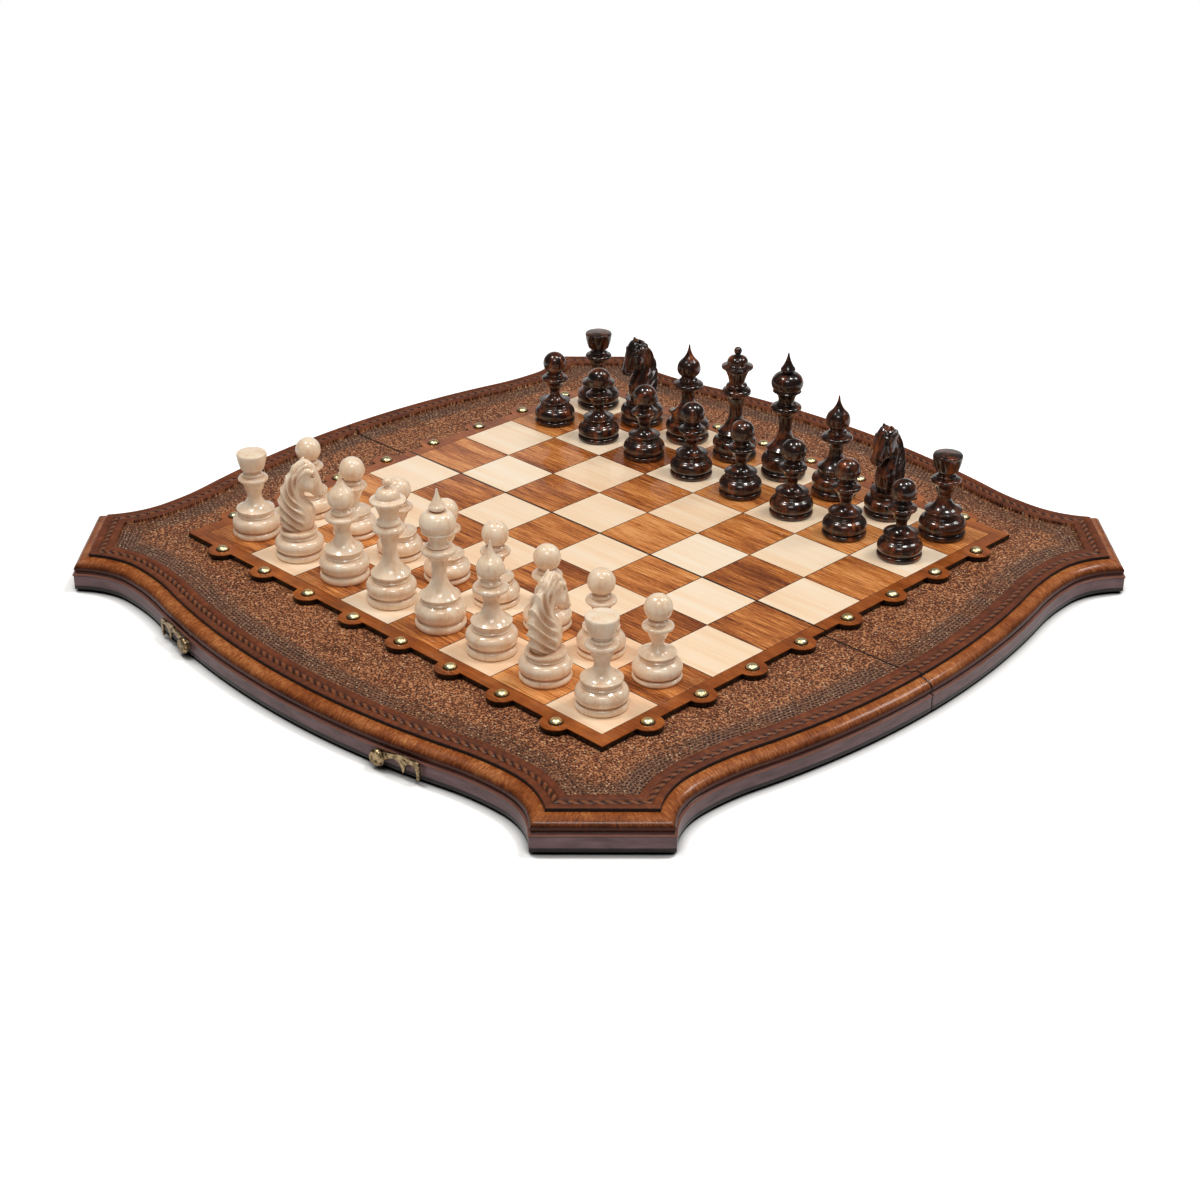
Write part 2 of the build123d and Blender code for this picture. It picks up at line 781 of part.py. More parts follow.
def knight_point(point):
    """A point of the knight's head given across and by its share of the head's height."""
    return (point[0], knight_foot_z + point[1] * (knight_height - knight_foot_z))


def file_x(file):
    return ("abcdefgh".index(file) + 0.5) * square - field_half


def rank_y(rank):
    return (rank - 0.5) * square - field_half


turned_men = [
    ("king", "e", king_outline),
    ("queen", "d", queen_outline),
    ("bishop", "c", bishop_outline),
    ("bishop", "f", bishop_outline),
    ("rook", "a", rook_outline),
    ("rook", "h", rook_outline),
]
turned_men += [("pawn", file, pawn_outline) for file in "abcdefgh"]
names_with_file = ("bishop", "rook", "pawn")

for colour, back_rank, pawn_rank in (("white", 1, 2), ("black", 8, 7)):
    for kind, file, steps in turned_men:
        rank = pawn_rank if kind == "pawn" else back_rank
        with BuildPart() as man:
            turned_man(man_plane(file_x(file), rank_y(rank), 0), steps)
        save(man, colour + "_" + kind + ("_" + file if kind in names_with_file else ""))

# Which way each knight looks, in degrees from the X axis
knight_headings = {
    ("white", "b"): 57.0,
    ("white", "g"): 90.0,
    ("black", "b"): 263.0,
    ("black", "g"): 270.0,
}
for (colour, file), heading in knight_headings.items():
    x = file_x(file)
    y = rank_y(1 if colour == "white" else 8)
    plane = man_plane(x, y, heading)
    front = man_plane(x, y, heading + 90)
    with BuildPart() as knight:
        # the head, cut from a slab in side view and narrowed in front view
        with BuildSketch(plane):
            with BuildLine():
                Spline(*[knight_point(point) for point in knight_mane])
                Spline(*[knight_point(point) for point in knight_face])
                Line(knight_point(knight_face[-1]), knight_point(knight_mane[0]))
            make_face()
        extrude(amount=knight_half_width, both=True)
        with BuildSketch(front):
            with BuildLine():
                Polyline(
                    (-knight_half_width, knight_foot_z),
                    (knight_half_width, knight_foot_z),
                    knight_point((knight_half_width, knight_crown_share)),
                    knight_point((knight_crown_half_width, 1.0)),
                    knight_point((-knight_crown_half_width, 1.0)),
                    knight_point((-knight_half_width, knight_crown_share)),
                    close=True,
                )
            make_face()
        extrude(amount=2 * base_radius, both=True, mode=Mode.INTERSECT)
        turned_man(plane, knight_base_outline)
    save(knight, colour + "_knight_" + file)
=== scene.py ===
from math import asin, atan2, cos, pi, radians, sin, sqrt

import bmesh
import bpy
import numpy as np
from mathutils import Matrix, Vector


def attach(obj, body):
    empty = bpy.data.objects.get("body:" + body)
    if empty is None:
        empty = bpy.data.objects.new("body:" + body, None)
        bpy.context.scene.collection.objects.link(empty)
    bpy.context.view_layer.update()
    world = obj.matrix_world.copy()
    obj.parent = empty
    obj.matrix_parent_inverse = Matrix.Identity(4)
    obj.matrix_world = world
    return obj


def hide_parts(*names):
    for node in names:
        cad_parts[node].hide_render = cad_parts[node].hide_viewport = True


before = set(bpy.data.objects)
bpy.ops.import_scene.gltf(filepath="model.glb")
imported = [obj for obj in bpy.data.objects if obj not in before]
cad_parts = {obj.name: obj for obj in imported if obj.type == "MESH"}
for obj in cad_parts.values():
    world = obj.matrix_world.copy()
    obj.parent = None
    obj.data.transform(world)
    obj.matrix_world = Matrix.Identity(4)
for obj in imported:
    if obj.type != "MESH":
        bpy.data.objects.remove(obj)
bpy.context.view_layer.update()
MM = 0.001

# Sizes that the looks share with the model, in millimetres. The box lies open, and its fold runs
# along X through the middle
square = 50.0
plate_top = 25.0
field_z = 20.8
tray_depth = 17.35
tack_line = 209.5
tack_pitch = 48.5
fold_half_slit = 0.15
halves = (("near", -1), ("far", 1))

# Each side of the frame, in three arcs that meet smoothly: it swells out to its apex in the middle,
# dips to a valley, and flares out to a cut-off corner
apex = 299.0
valley_along = 192.5
valley_depth = 22.5
valley_radius = 195.0
flare_radius = 58.0
flare_turn = 45.0
valley = apex - valley_depth
swell_half_turn = 2 * asin(valley_depth / sqrt(valley_depth**2 + valley_along**2))
swell_radius = valley_along / sin(swell_half_turn) - valley_radius
flare_along = valley_along + flare_radius * sin(radians(flare_turn))
flare_out = valley + flare_radius * (1 - cos(radians(flare_turn)))


# Meshes


class Skin:
    """Gathers grid surfaces and flat faces, in millimetres, into one mesh of one piece."""

    def __init__(self):
        self.points = []
        self.faces = []
        self.uvs = []
        self.count = 0

    def sheet(self, grid, uv=None, wrap=(False, False)):
        """Adds a surface: grid[i, j] is its point at the i-th and j-th steps of its two parameters.
        Each face joins four neighbours, and a wrapped parameter joins its last step to its first."""
        grid = np.asarray(grid, float)
        rows, columns = grid.shape[:2]
        i, j = np.meshgrid(
            np.arange(rows if wrap[0] else rows - 1),
            np.arange(columns if wrap[1] else columns - 1),
            indexing="ij",
        )
        i, j = i.ravel(), j.ravel()
        corners = [(i, j), (i + 1, j), (i + 1, j + 1), (i, j + 1)]
        faces = np.stack([(a % rows) * columns + b % columns for a, b in corners], 1) + self.count
        if uv is None:
            uv = uv_grid(np.arange(rows + 1.0), np.arange(columns + 1.0))
        uvs = np.stack([uv[a, b] for a, b in corners], 1)
        self.points.append(grid.reshape(-1, 3))
        self.faces += faces.tolist()
        self.uvs.append(uvs.reshape(-1, 2))
        self.count += rows * columns

    def flat(self, loop):
        """Adds one flat face through a closed loop of points."""
        loop = np.asarray(loop, float)
        self.points.append(loop)
        self.faces.append(list(range(self.count, self.count + len(loop))))
        self.uvs.append(loop[:, :2] * MM)
        self.count += len(loop)

    def tube(self, grid, uv=None):
        """Adds a surface whose rows are closed loops, and a flat face over each of its ends."""
        self.sheet(grid, uv, wrap=(False, True))
        self.flat(grid[0])
        self.flat(grid[-1, ::-1])

    def piece(self, name, body, material, slot, replaces=(), crease=38):
        """Makes the mesh: merges what meets, points the faces outward and rides it on a body."""
        mesh = bpy.data.meshes.new(name)
        mesh.from_pydata((np.concatenate(self.points) * MM).tolist(), [], self.faces)
        layer = mesh.uv_layers.new(name="UVMap")
        layer.data.foreach_set("uv", np.concatenate(self.uvs).ravel())
        mesh.materials.append(material)
        work = bmesh.new()
        work.from_mesh(mesh)
        bmesh.ops.remove_doubles(work, verts=work.verts, dist=2e-6)
        bmesh.ops.dissolve_degenerate(work, edges=work.edges, dist=1e-6)
        bmesh.ops.recalc_face_normals(work, faces=work.faces)
        work.to_mesh(mesh)
        work.free()
        mesh.polygons.foreach_set("use_smooth", np.ones(len(mesh.polygons), bool))
        mesh.set_sharp_from_angle(angle=radians(crease))
        placed(name, mesh, body, replaces)


def uv_grid(u, v):
    """A map for a surface, from the first number of each row and the second of each column."""
    return np.stack(np.meshgrid(u, v, indexing="ij"), 2)


def placed(name, mesh, body, replaces):
    """Makes a mesh a piece that rides on a body and stands for those modelled nodes."""
    piece = bpy.data.objects.new(name, mesh)
    bpy.context.collection.objects.link(piece)
    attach(piece, body)
    if replaces:
        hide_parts(*replaces)


def turn_plan(x, y, degrees_turned):
    """Plan points turned about the origin: x cos - y sin, x sin + y cos."""
    c, s = cos(radians(degrees_turned)), sin(radians(degrees_turned))
    return x * c - y * s, x * s + y * c


def side_plan(t, inset):
    """Plan point of a side whose outward way is +Y: t 0 to 1 runs along the swell's arc, 1 to 2 back
    round the dip's arc, and 2 to 3 out along the flare to the mitre. Each arc keeps its centre, and
    its radius shrinks or grows by the inset. A negative t mirrors the side."""
    t, inset = np.broadcast_arrays(np.asarray(t, float), np.asarray(inset, float))
    hand = np.where(t < 0, -1.0, 1.0)
    t = np.abs(t)
    a = np.clip(t, 0, 1) * swell_half_turn
    b = (1 - np.clip(t - 1, 0, 1)) * swell_half_turn
    shift = flare_along + flare_out - inset * sqrt(2) - valley_along - valley - flare_radius
    reach = flare_radius + inset
    end = np.arcsin((shift + np.sqrt(2 * reach**2 - shift**2)) / 2 / reach)
    c = np.clip(t - 2, 0, 1) * end
    swell_x = (swell_radius - inset) * np.sin(a)
    swell_y = apex - swell_radius + (swell_radius - inset) * np.cos(a)
    dip_x = valley_along - (valley_radius + inset) * np.sin(b)
    dip_y = valley + valley_radius - (valley_radius + inset) * np.cos(b)
    flare_x = valley_along + reach * np.sin(c)
    flare_y = valley + flare_radius - reach * np.cos(c)
    x = np.where(t <= 1, swell_x, np.where(t <= 2, dip_x, flare_x))
    y = np.where(t <= 1, swell_y, np.where(t <= 2, dip_y, flare_y))
    return hand * x, y


def side_steps(low, high, per_mm=0.35):
    """Values of t from low to high, with about that many steps for each millimetre of the wall."""
    flare_arc = flare_radius * radians(flare_turn)
    arcs = [swell_radius * swell_half_turn, valley_radius * swell_half_turn, flare_arc]
    bounds = sorted({low, high} | {k for k in (-2.0, -1.0, 0.0, 1.0, 2.0) if low < k < high})
    steps = []
    for a, b in zip(bounds[:-1], bounds[1:]):
        which = int(min(abs(a), abs(b)) + 1e-9)
        count = max(2, int(arcs[which] * abs(b - a) * per_mm))
        steps.append(np.linspace(a, b, count, endpoint=False))
    return np.concatenate(steps + [[high]])


def corner_plan(k, inset, turn, hand):
    """Plan point across a cut-off corner, k 0 to 1 from one side's mitre to the next side's."""
    x0, y0 = side_plan(3.0 * hand, inset)
    x0, y0 = turn_plan(x0, y0, turn)
    x1, y1 = side_plan(-3.0 * hand, inset)
    x1, y1 = turn_plan(x1, y1, turn - 90 * hand)
    return x0 + (x1 - x0) * k, y0 + (y1 - y0) * k


def path_length(x, y):
    """The length of a plan line up to each of its points: the running sum of its steps."""
    return np.r_[0, np.cumsum(np.hypot(np.diff(x), np.diff(y)))]


def smooth_line(points, spacing, blur):
    """A profile read at even steps along its length and averaged over its neighbours, which rounds
    its corners by about the blur, with its two ends held."""
    points = np.asarray(points, float)
    run = path_length(*points.T)
    count = int(run[-1] / spacing) + 2
    at = np.linspace(0, run[-1], count)
    line = np.stack([np.interp(at, run, points[:, k]) for k in (0, 1)], 1)
    reach = max(1, int(2.5 * blur / spacing))
    weight = np.exp(-0.5 * (np.arange(-reach, reach + 1) * spacing / blur) ** 2)
    weight /= weight.sum()
    out = line.copy()
    for k in (0, 1):
        padded = np.r_[
            2 * line[0, k] - line[reach:0:-1, k], line[:, k], 2 * line[-1, k] - line[-2 : -reach - 2 : -1, k]
        ]
        out[:, k] = np.convolve(padded, weight, "valid")
    out[0], out[-1] = line[0], line[-1]
    return out


def thinned(line, tolerance):
    """The fewest of a line's own points that stay within the tolerance of it, found by splitting at
    the point that lies furthest from each chord."""
    keep = np.zeros(len(line), bool)
    keep[[0, -1]] = True
    spans = [(0, len(line) - 1)]
    while spans:
        a, b = spans.pop()
        if b - a < 2:
            continue
        chord = line[b] - line[a]
        size = np.hypot(*chord) + 1e-12
        away = line[a + 1 : b] - line[a]
        off = np.abs(chord[0] * away[:, 1] - chord[1] * away[:, 0])
        worst = a + 1 + int(off.argmax())
        if off.max() / size > tolerance:
            keep[worst] = True
            spans += [(a, worst), (worst, b)]
    return line[keep]


def arc_points(start, middle, end, count):
    """Points along the circle through three points, without the first. Its centre is where the
    perpendiculars through the middles of the two chords cross."""
    (ax, ay), (bx, by), (cx, cy) = start, middle, end
    d = 2 * (ax * (by - cy) + bx * (cy - ay) + cx * (ay - by))
    ux = ((ax**2 + ay**2) * (by - cy) + (bx**2 + by**2) * (cy - ay) + (cx**2 + cy**2) * (ay - by)) / d
    uy = ((ax**2 + ay**2) * (cx - bx) + (bx**2 + by**2) * (ax - cx) + (cx**2 + cy**2) * (bx - ax)) / d
    radius = sqrt((ax - ux) ** 2 + (ay - uy) ** 2)
    a, b, c = (atan2(y - uy, x - ux) for x, y in (start, middle, end))
    sweep = (c - a) % (2 * pi)
    if (b - a) % (2 * pi) > sweep:
        sweep -= 2 * pi
    turn = a + sweep * np.linspace(0, 1, count + 1)[1:]
    return np.stack([ux + radius * np.cos(turn), uy + radius * np.sin(turn)], 1)


# Materials


class Num:
    """A value that changes over a surface: an expression on such values adds its Math nodes."""

    def __init__(self, finish, socket):
        self.finish = finish
        self.socket = socket

    def math(self, operation, *values):
        """A Math node on values and numbers."""
        return self.finish.node("ShaderNodeMath", {"operation": operation}, dict(enumerate(values)))

    def __add__(self, other):
        return self.math("ADD", self, other)

    __radd__ = __add__

    def __sub__(self, other):
        return self.math("SUBTRACT", self, other)

    def __rsub__(self, other):
        return self.math("SUBTRACT", other, self)

    def __mul__(self, other):
        return self.math("MULTIPLY", self, other)

    __rmul__ = __mul__

    def __truediv__(self, other):
        return self.math("DIVIDE", self, other)

    def floor(self):
        return self.math("FLOOR", self)

    def fract(self):
        return self.math("FRACT", self)

    def size(self):
        return self.math("ABSOLUTE", self)

    def sine(self):
        return self.math("SINE", self)

    def step(self, low, high, out_low=0.0, out_high=1.0):
        """Runs smoothly from out_low to out_high as the value goes from low to high."""
        return self.finish.node(
            "ShaderNodeMapRange",
            {"interpolation_type": "SMOOTHSTEP"},
            {0: self, 1: low, 2: high, 3: out_low, 4: out_high},
        )


class Shading:
    """The nodes of a material or of the world."""

    def __init__(self, owner):
        owner.use_nodes = True
        self.tree = owner.node_tree
        self.tree.nodes.clear()

    def node(self, kind, settings=None, inputs=None, output=0):
        """Adds a node of that type. Its settings are set first, then the values or links of its sockets."""
        made = self.tree.nodes.new(kind)
        for key, value in (settings or {}).items():
            if key == "stops":
                ramp = made.color_ramp
                while len(ramp.elements) < len(value):
                    ramp.elements.new(0.5)
                for element, (place, colour) in zip(ramp.elements, value):
                    element.position = place
                    element.color = (*colour[:3], 1)
            else:
                setattr(made, key, value)
        for key, value in (inputs or {}).items():
            if isinstance(value, Num):
                self.tree.links.new(value.socket, made.inputs[key])
            elif made.inputs[key].type == "RGBA":
                made.inputs[key].default_value = (*value, 1)
            else:
                made.inputs[key].default_value = value
        return Num(self, made.outputs[output]) if made.outputs else None


class Finish(Shading):
    """One material: a Principled shader and the nodes that feed it."""

    def __init__(self, name, constants=None):
        self.material = bpy.data.materials.new(name)
        super().__init__(self.material)
        self.shader = self.node("ShaderNodeBsdfPrincipled", {}, constants)
        self.node("ShaderNodeOutputMaterial", {}, {0: self.shader})

    def feed(self, name, value):
        """Links a value to one of the shader's sockets."""
        self.tree.links.new(value.socket, self.shader.socket.node.inputs[name])

    def place(self, scale=(1, 1, 1), source="Object"):
        """Object or UV coordinates in metres, scaled."""
        coords = self.node("ShaderNodeTexCoord", output=source)
        return self.node("ShaderNodeMapping", {}, {0: coords, 3: scale})

    def parts(self, vector):
        """A vector's three numbers."""
        return [self.node("ShaderNodeSeparateXYZ", {}, {0: vector}, output=k) for k in range(3)]

    def join(self, x, y, z):
        """A vector from three numbers."""
        return self.node("ShaderNodeCombineXYZ", {}, {0: x, 1: y, 2: z})

    def noise(self, vector, scale, detail=3.0, roughness=0.55, distortion=0.0):
        """Soft clouds between 0 and 1, finer as the scale grows."""
        return self.node(
            "ShaderNodeTexNoise",
            {},
            {
                "Vector": vector,
                "Scale": scale,
                "Detail": detail,
                "Roughness": roughness,
                "Distortion": distortion,
            },
        )

    def cells(self, vector, scale, randomness):
        """The distance to the nearest of many scattered points."""
        return self.node(
            "ShaderNodeTexVoronoi",
            {"feature": "F1", "distance": "EUCLIDEAN"},
            {"Vector": vector, "Scale": scale, "Randomness": randomness},
            output="Distance",
        )

    def ramp(self, value, *stops):
        """A colour for each value, from stops of a value and its colour."""
        return self.node("ShaderNodeValToRGB", {"stops": stops}, {0: value})

    def mix(self, factor, a, b):
        """Colour a where the factor is 0 and colour b where it is 1."""
        return self.node("ShaderNodeMix", {"data_type": "RGBA"}, {0: factor, 6: a, 7: b}, output=2)

    def bump(self, height, strength, distance):
        """The way the surface faces where a height from 0 to 1 stands up by the distance, in metres."""
        return self.node("ShaderNodeBump", {}, {"Height": height, "Strength": strength, "Distance": distance})


def rgb(r, g, b):
    """A colour given as it looks on screen, 0 to 255, turned to the linear values that shaders take."""
    return tuple((c / 255 / 12.92) if c <= 10.3 else ((c / 255 + 0.055) / 1.055) ** 2.4 for c in (r, g, b))


def stained_moulding():
    """The frame's stained beech: fine streaks across the rail, and painted light and shade on the rounded
    top, golden above and nearly black low down. The bead is lighter on its upper half, a painted
    highlight, with a painted shadow just under it; the wall's lowest 3 mm is a painted shadow, nearly
    black; the fold has a painted shadow; and the wall is satin purple-brown. UV runs along the rail and
    round its section, and the bands' heights follow the moulding's profile, all in metres."""
    f = Finish("stained moulding", {"Specular IOR Level": 0.15, "Coat Weight": 0.42, "Coat Roughness": 0.13})
    along, across, _ = f.parts(f.place(source="UV"))
    _, y, z = f.parts(f.place())
    streaks = f.noise(f.join(along, across * 0.2, 0.0), 900.0, 4.0, 0.66, 0.5)
    cloud = f.noise(f.join(along, across, 0.0), 34.0, 4.0, 0.65)
    pores = f.noise(f.join(along, across * 0.35, 0.0), 1500.0, 2.0, 0.5)
    mixed = streaks * 0.5 + cloud * 0.4 + pores * 0.1
    # Painted light and shade on the rounded top: golden for its upper part, nearly black for its lower part
    lit_top = f.ramp(mixed, (0.32, rgb(70, 26, 8)), (0.5, rgb(150, 79, 33)), (0.7, rgb(222, 150, 88)))
    low = f.ramp(mixed, (0.3, rgb(28, 9, 4)), (0.7, rgb(92, 37, 14)))
    satin = f.noise(f.join(along * 0.25, across, 0.0), 190.0, 3.0) * 0.6 + cloud * 0.4
    # Painted shadow: the wall's lowest 3 mm is nearly black, standing in for the shade under the box
    foot = (z + (satin - 0.5) * 0.0006).step(0.0026, 0.0036, 1.0, 0.0)
    wall = f.ramp(satin, (0.3, rgb(84, 62, 64)), (0.7, rgb(138, 106, 107)))
    wall = f.mix(foot * 0.9, wall, rgb(14, 9, 9))
    # Painted light and shade: the rounded top goes from nearly black below to golden above, by height
    rounded = f.mix((z + (streaks - 0.5) * 0.002).step(0.0160, 0.0208), low, lit_top)
    colour = f.mix(z.step(0.0123, 0.0126), wall, rounded)
    # Painted highlight: the bead's upper half is lighter
    bead = z.step(0.0112, 0.0115) * z.step(0.0121, 0.0124, 1.0, 0.0)
    colour = f.mix(bead * 0.6, colour, rgb(142, 80, 40))
    # Painted shadow: a dark line just under the bead
    line = z.step(0.0102, 0.0104) * z.step(0.0107, 0.0110, 1.0, 0.0)
    colour = f.mix(line * 0.7, colour, rgb(22, 9, 6))
    # Painted shadow in the gap at the fold
    fold = y.size().step(0.0006, 0.0013, 1.0, 0.0)
    colour = f.mix(fold * 0.85, colour, rgb(22, 10, 6))
    f.feed("Base Color", colour)
    f.feed("Roughness", 0.28 + 0.2 * cloud + 0.1 * pores)
    f.feed("Normal", f.bump(streaks * 0.4 + pores * 0.6, 0.12, 0.0003))
    return f.material


def punched_field():
    """The carved panel: close punch marks with painted shade in their pits and painted glints, pale, on
    the burred points between them; larger arched marks beside the border, with painted shade in their
    pits; and the border's smooth stained ridges, whose low and outer sides carry painted shade, nearly
    black; and a painted shadow along the fold. UV's second number is the distance in from the wall, and
    its first the length along it, in metres."""
    f = Finish("punched field", {"Specular IOR Level": 0.3})
    spot = f.place()
    x, y, z = f.parts(spot)
    along, inset, _ = f.parts(f.place(source="UV"))
    marks = f.cells(f.join(x * 0.85, y, 0.0), 820.0, 0.85)
    fine = f.noise(spot, 1300.0, 2.0, 0.6)
    mid = f.noise(spot, 420.0, 3.0, 0.6)
    patch = f.noise(f.join(x * 0.35, y, 0.0), 26.0, 4.0, 0.65, 0.4)
    # The punch pits darker and the ridges between them lighter: painted shade and light over the wood's own
    # tone
    tone = marks * 0.8 + fine * 0.24 + mid * 0.14 + (patch - 0.5) * 0.24
    carved = f.ramp(
        tone,
        (0.34, rgb(22, 8, 4)),
        (0.5, rgb(76, 36, 19)),
        (0.62, rgb(126, 68, 35)),
        (0.82, rgb(194, 132, 88)),
    )
    near_border = inset.step(0.0250, 0.0262) * inset.step(0.0370, 0.0470, 1.0, 0.0)
    row_depth, mark_length = 0.0027, 0.0034
    rows = (inset - 0.0254) / row_depth + (mid - 0.5) * 0.9
    u = (along / mark_length + (rows.floor() * 0.5).fract() + (fine - 0.5) * 0.9).fract() - 0.5
    v = rows.fract() - 0.5
    off = (u * u * 5.4 + v * v * 5.0 + (fine - 0.5) * 1.1).step(0.1, 1.3)
    # Painted shade in the arched marks' pits, lighter towards their edges
    arched_pit_shading = off * 0.55 + tone * 0.5
    darker = f.ramp(arched_pit_shading, (0.3, rgb(22, 9, 6)), (0.58, rgb(68, 39, 28)), (0.88, rgb(142, 104, 82)))
    carved = f.mix(near_border * (0.35 + 0.55 * patch.step(0.35, 0.6)), carved, darker)
    burrs = f.cells(f.join(x, y, 0.0), 430.0, 0.7)
    # Painted glints: small pale points on the burrs between the punch marks
    painted_glints = burrs.step(0.14, 0.3, 1.0, 0.0) * mid.step(0.44, 0.56)
    carved = f.mix(painted_glints * 0.9, carved, rgb(246, 218, 178))
    smooth = f.ramp(
        f.noise(f.join(along, inset * 0.4, 0.0), 210.0, 4.0, 0.6) * 0.6 + patch * 0.4,
        (0.3, rgb(60, 23, 8)),
        (0.55, rgb(110, 52, 21)),
        (0.75, rgb(156, 86, 40)),
    )
    border = inset.step(0.0247, 0.0251, 1.0, 0.0)
    colour = f.mix(border, carved, smooth)
    # Painted shade: the border's sides below its ridges are nearly black
    low = z.step(0.0222, 0.0234, 1.0, 0.0) * border
    colour = f.mix(low * 0.92, colour, rgb(18, 8, 6))
    # Painted shade: the band's outer side, next to the frame's rounded top, is nearly black
    outer = inset.step(0.0103, 0.0108, 1.0, 0.0) * z.step(0.0232, 0.0238, 1.0, 0.0)
    colour = f.mix(outer * 0.9, colour, rgb(22, 10, 7))
    # Painted shadow in the gap at the fold
    fold = y.size().step(0.0006, 0.0014, 1.0, 0.0)
    colour = f.mix(fold * 0.85, colour, rgb(20, 9, 6))
    f.feed("Base Color", colour)
    f.feed("Roughness", 0.42 + 0.3 * fine)
    pits = marks * 0.8 + (off - marks * 0.8) * near_border
    height = (pits + fine * 0.35) * (1 - border) + fine * 0.1 * border
    f.feed("Normal", f.bump(height, 0.85, 0.0008))
    return f.material


def rope_carving():
    """The twisted cord in the border: painted highlights along the strands' backs and painted shade
    between them. UV's first number counts strands, and its second runs round the cord."""
    f = Finish("rope carving", {"Specular IOR Level": 0.25, "Coat Weight": 0.15, "Coat Roughness": 0.15})
    along, around, _ = f.parts(f.place(source="UV"))
    # Painted light and shade: pale on each strand's back, dark between the strands
    back = (around * (2 * pi) - along * pi).sine().size()
    grain = f.noise(f.place(), 700.0, 3.0)
    colour = f.ramp(
        back * 0.75 + (grain - 0.4) * 0.5,
        (0.14, rgb(34, 14, 7)),
        (0.5, rgb(88, 43, 20)),
        (0.95, rgb(140, 84, 50)),
    )
    f.feed("Base Color", colour)
    f.feed("Roughness", 0.3 + 0.25 * grain)
    f.feed("Normal", f.bump(grain, 0.2, 0.0003))
    return f.material


def veneer(name, stops, lines_at, gloss, contrast):
    """Polished veneer with its grain along X and a dark joint round each square. Each square's grain
    is shifted by its own place, so neighbours don't run on into each other."""
    f = Finish(name, {"Specular IOR Level": 0.3, "Coat Roughness": 0.06})
    cell = square * MM
    x, y, _ = f.parts(f.place())
    column = (x / cell).floor()
    row = (y / cell).floor()
    shift = column * 0.37 + row * 0.83
    tone = f.node("ShaderNodeTexWhiteNoise", {"noise_dimensions": "2D"}, {"Vector": f.join(column, row, 0.0)})
    broad = f.noise(f.join(x * 0.09 + shift, y + shift * 0.21, 0.0), 75.0, 2.0, 0.5, 0.3)
    fine = f.noise(f.join(x * 0.035 + shift, y + shift * 0.33, 0.0), lines_at, 3.0, 0.6, 0.1)
    pores = f.noise(f.join(x * 0.12 + shift, y, 0.0), 2100.0, 2.0, 0.5)
    value = (fine - 0.5) * contrast + (broad - 0.5) * 0.8
    value = value + (pores - 0.5) * 0.35 * contrast + (tone - 0.5) * 0.3 + 0.5
    colour = f.ramp(value, *stops)
    across = (x - (column + 0.5) * cell).size()
    down = (y - (row + 0.5) * cell).size()
    joint = across.math("MAXIMUM", across, down).step(cell / 2 - 0.00045, cell / 2 - 0.00025)
    colour = f.mix(joint, colour, rgb(58, 28, 14))
    # Painted shadow in the gap at the fold
    colour = f.mix(y.size().step(0.0006, 0.0012, 0.92, 0.0), colour, rgb(14, 6, 4))
    f.feed("Base Color", colour)
    f.feed("Roughness", gloss + 0.15 * fine)
    f.feed("Coat Weight", 0.3 + 0.5 * broad)
    f.feed("Normal", f.bump(fine * 0.7 + pores * 0.3, 0.05, 0.0002))
    return f.material


def lacquered_plate():
    """The playing board's own wood, glossy orange-brown, with painted shade, nearly black, down its cut
    edge, and a painted shadow along the fold.
    """
    f = Finish("lacquered plate", {"Specular IOR Level": 0.25, "Coat Weight": 0.3, "Coat Roughness": 0.1})
    x, y, z = f.parts(f.place())
    broad = f.noise(f.join(x * 0.1, y, 0.0), 55.0, 3.0, 0.5, 0.4)
    fine = f.noise(f.join(x * 0.04, y, 0.0), 620.0, 3.0, 0.6)
    spots = f.noise(f.join(x, y, 0.0), 90.0, 3.0, 0.6)
    colour = f.ramp(
        broad * 0.35 + fine * 0.4 + spots * 0.25,
        (0.32, rgb(86, 34, 9)),
        (0.5, rgb(146, 74, 25)),
        (0.68, rgb(192, 112, 50)),
    )
    # Painted shade: the plate's cut edge, below its top, is nearly black
    colour = f.mix(z.step(0.0242, 0.0249), rgb(10, 4, 3), colour)
    # Painted shadow in the gap at the fold
    colour = f.mix(y.size().step(0.0006, 0.0012, 0.92, 0.0), colour, rgb(12, 5, 3))
    f.feed("Base Color", colour)
    f.feed("Roughness", 0.24 + 0.12 * fine)
    f.feed("Normal", f.bump(fine, 0.04, 0.0002))
    return f.material


def box_wood():
    """The plain wood inside the box: stained brown, grain along the fold."""
    f = Finish("box wood")
    spot = f.place(scale=(0.08, 1.0, 1.0))
    broad = f.noise(spot, 40.0, 3.0, 0.5, 0.5)
    fine = f.noise(spot, 420.0, 4.0, 0.6)
    grain = broad * 0.5 + fine * 0.5
    colour = f.ramp(grain, (0.3, rgb(66, 34, 18)), (0.55, rgb(104, 62, 36)), (0.75, rgb(134, 86, 52)))
    f.feed("Base Color", colour)
    f.feed("Roughness", 0.45 + 0.15 * fine)
    f.feed("Normal", f.bump(fine, 0.15, 0.0003))
    return f.material


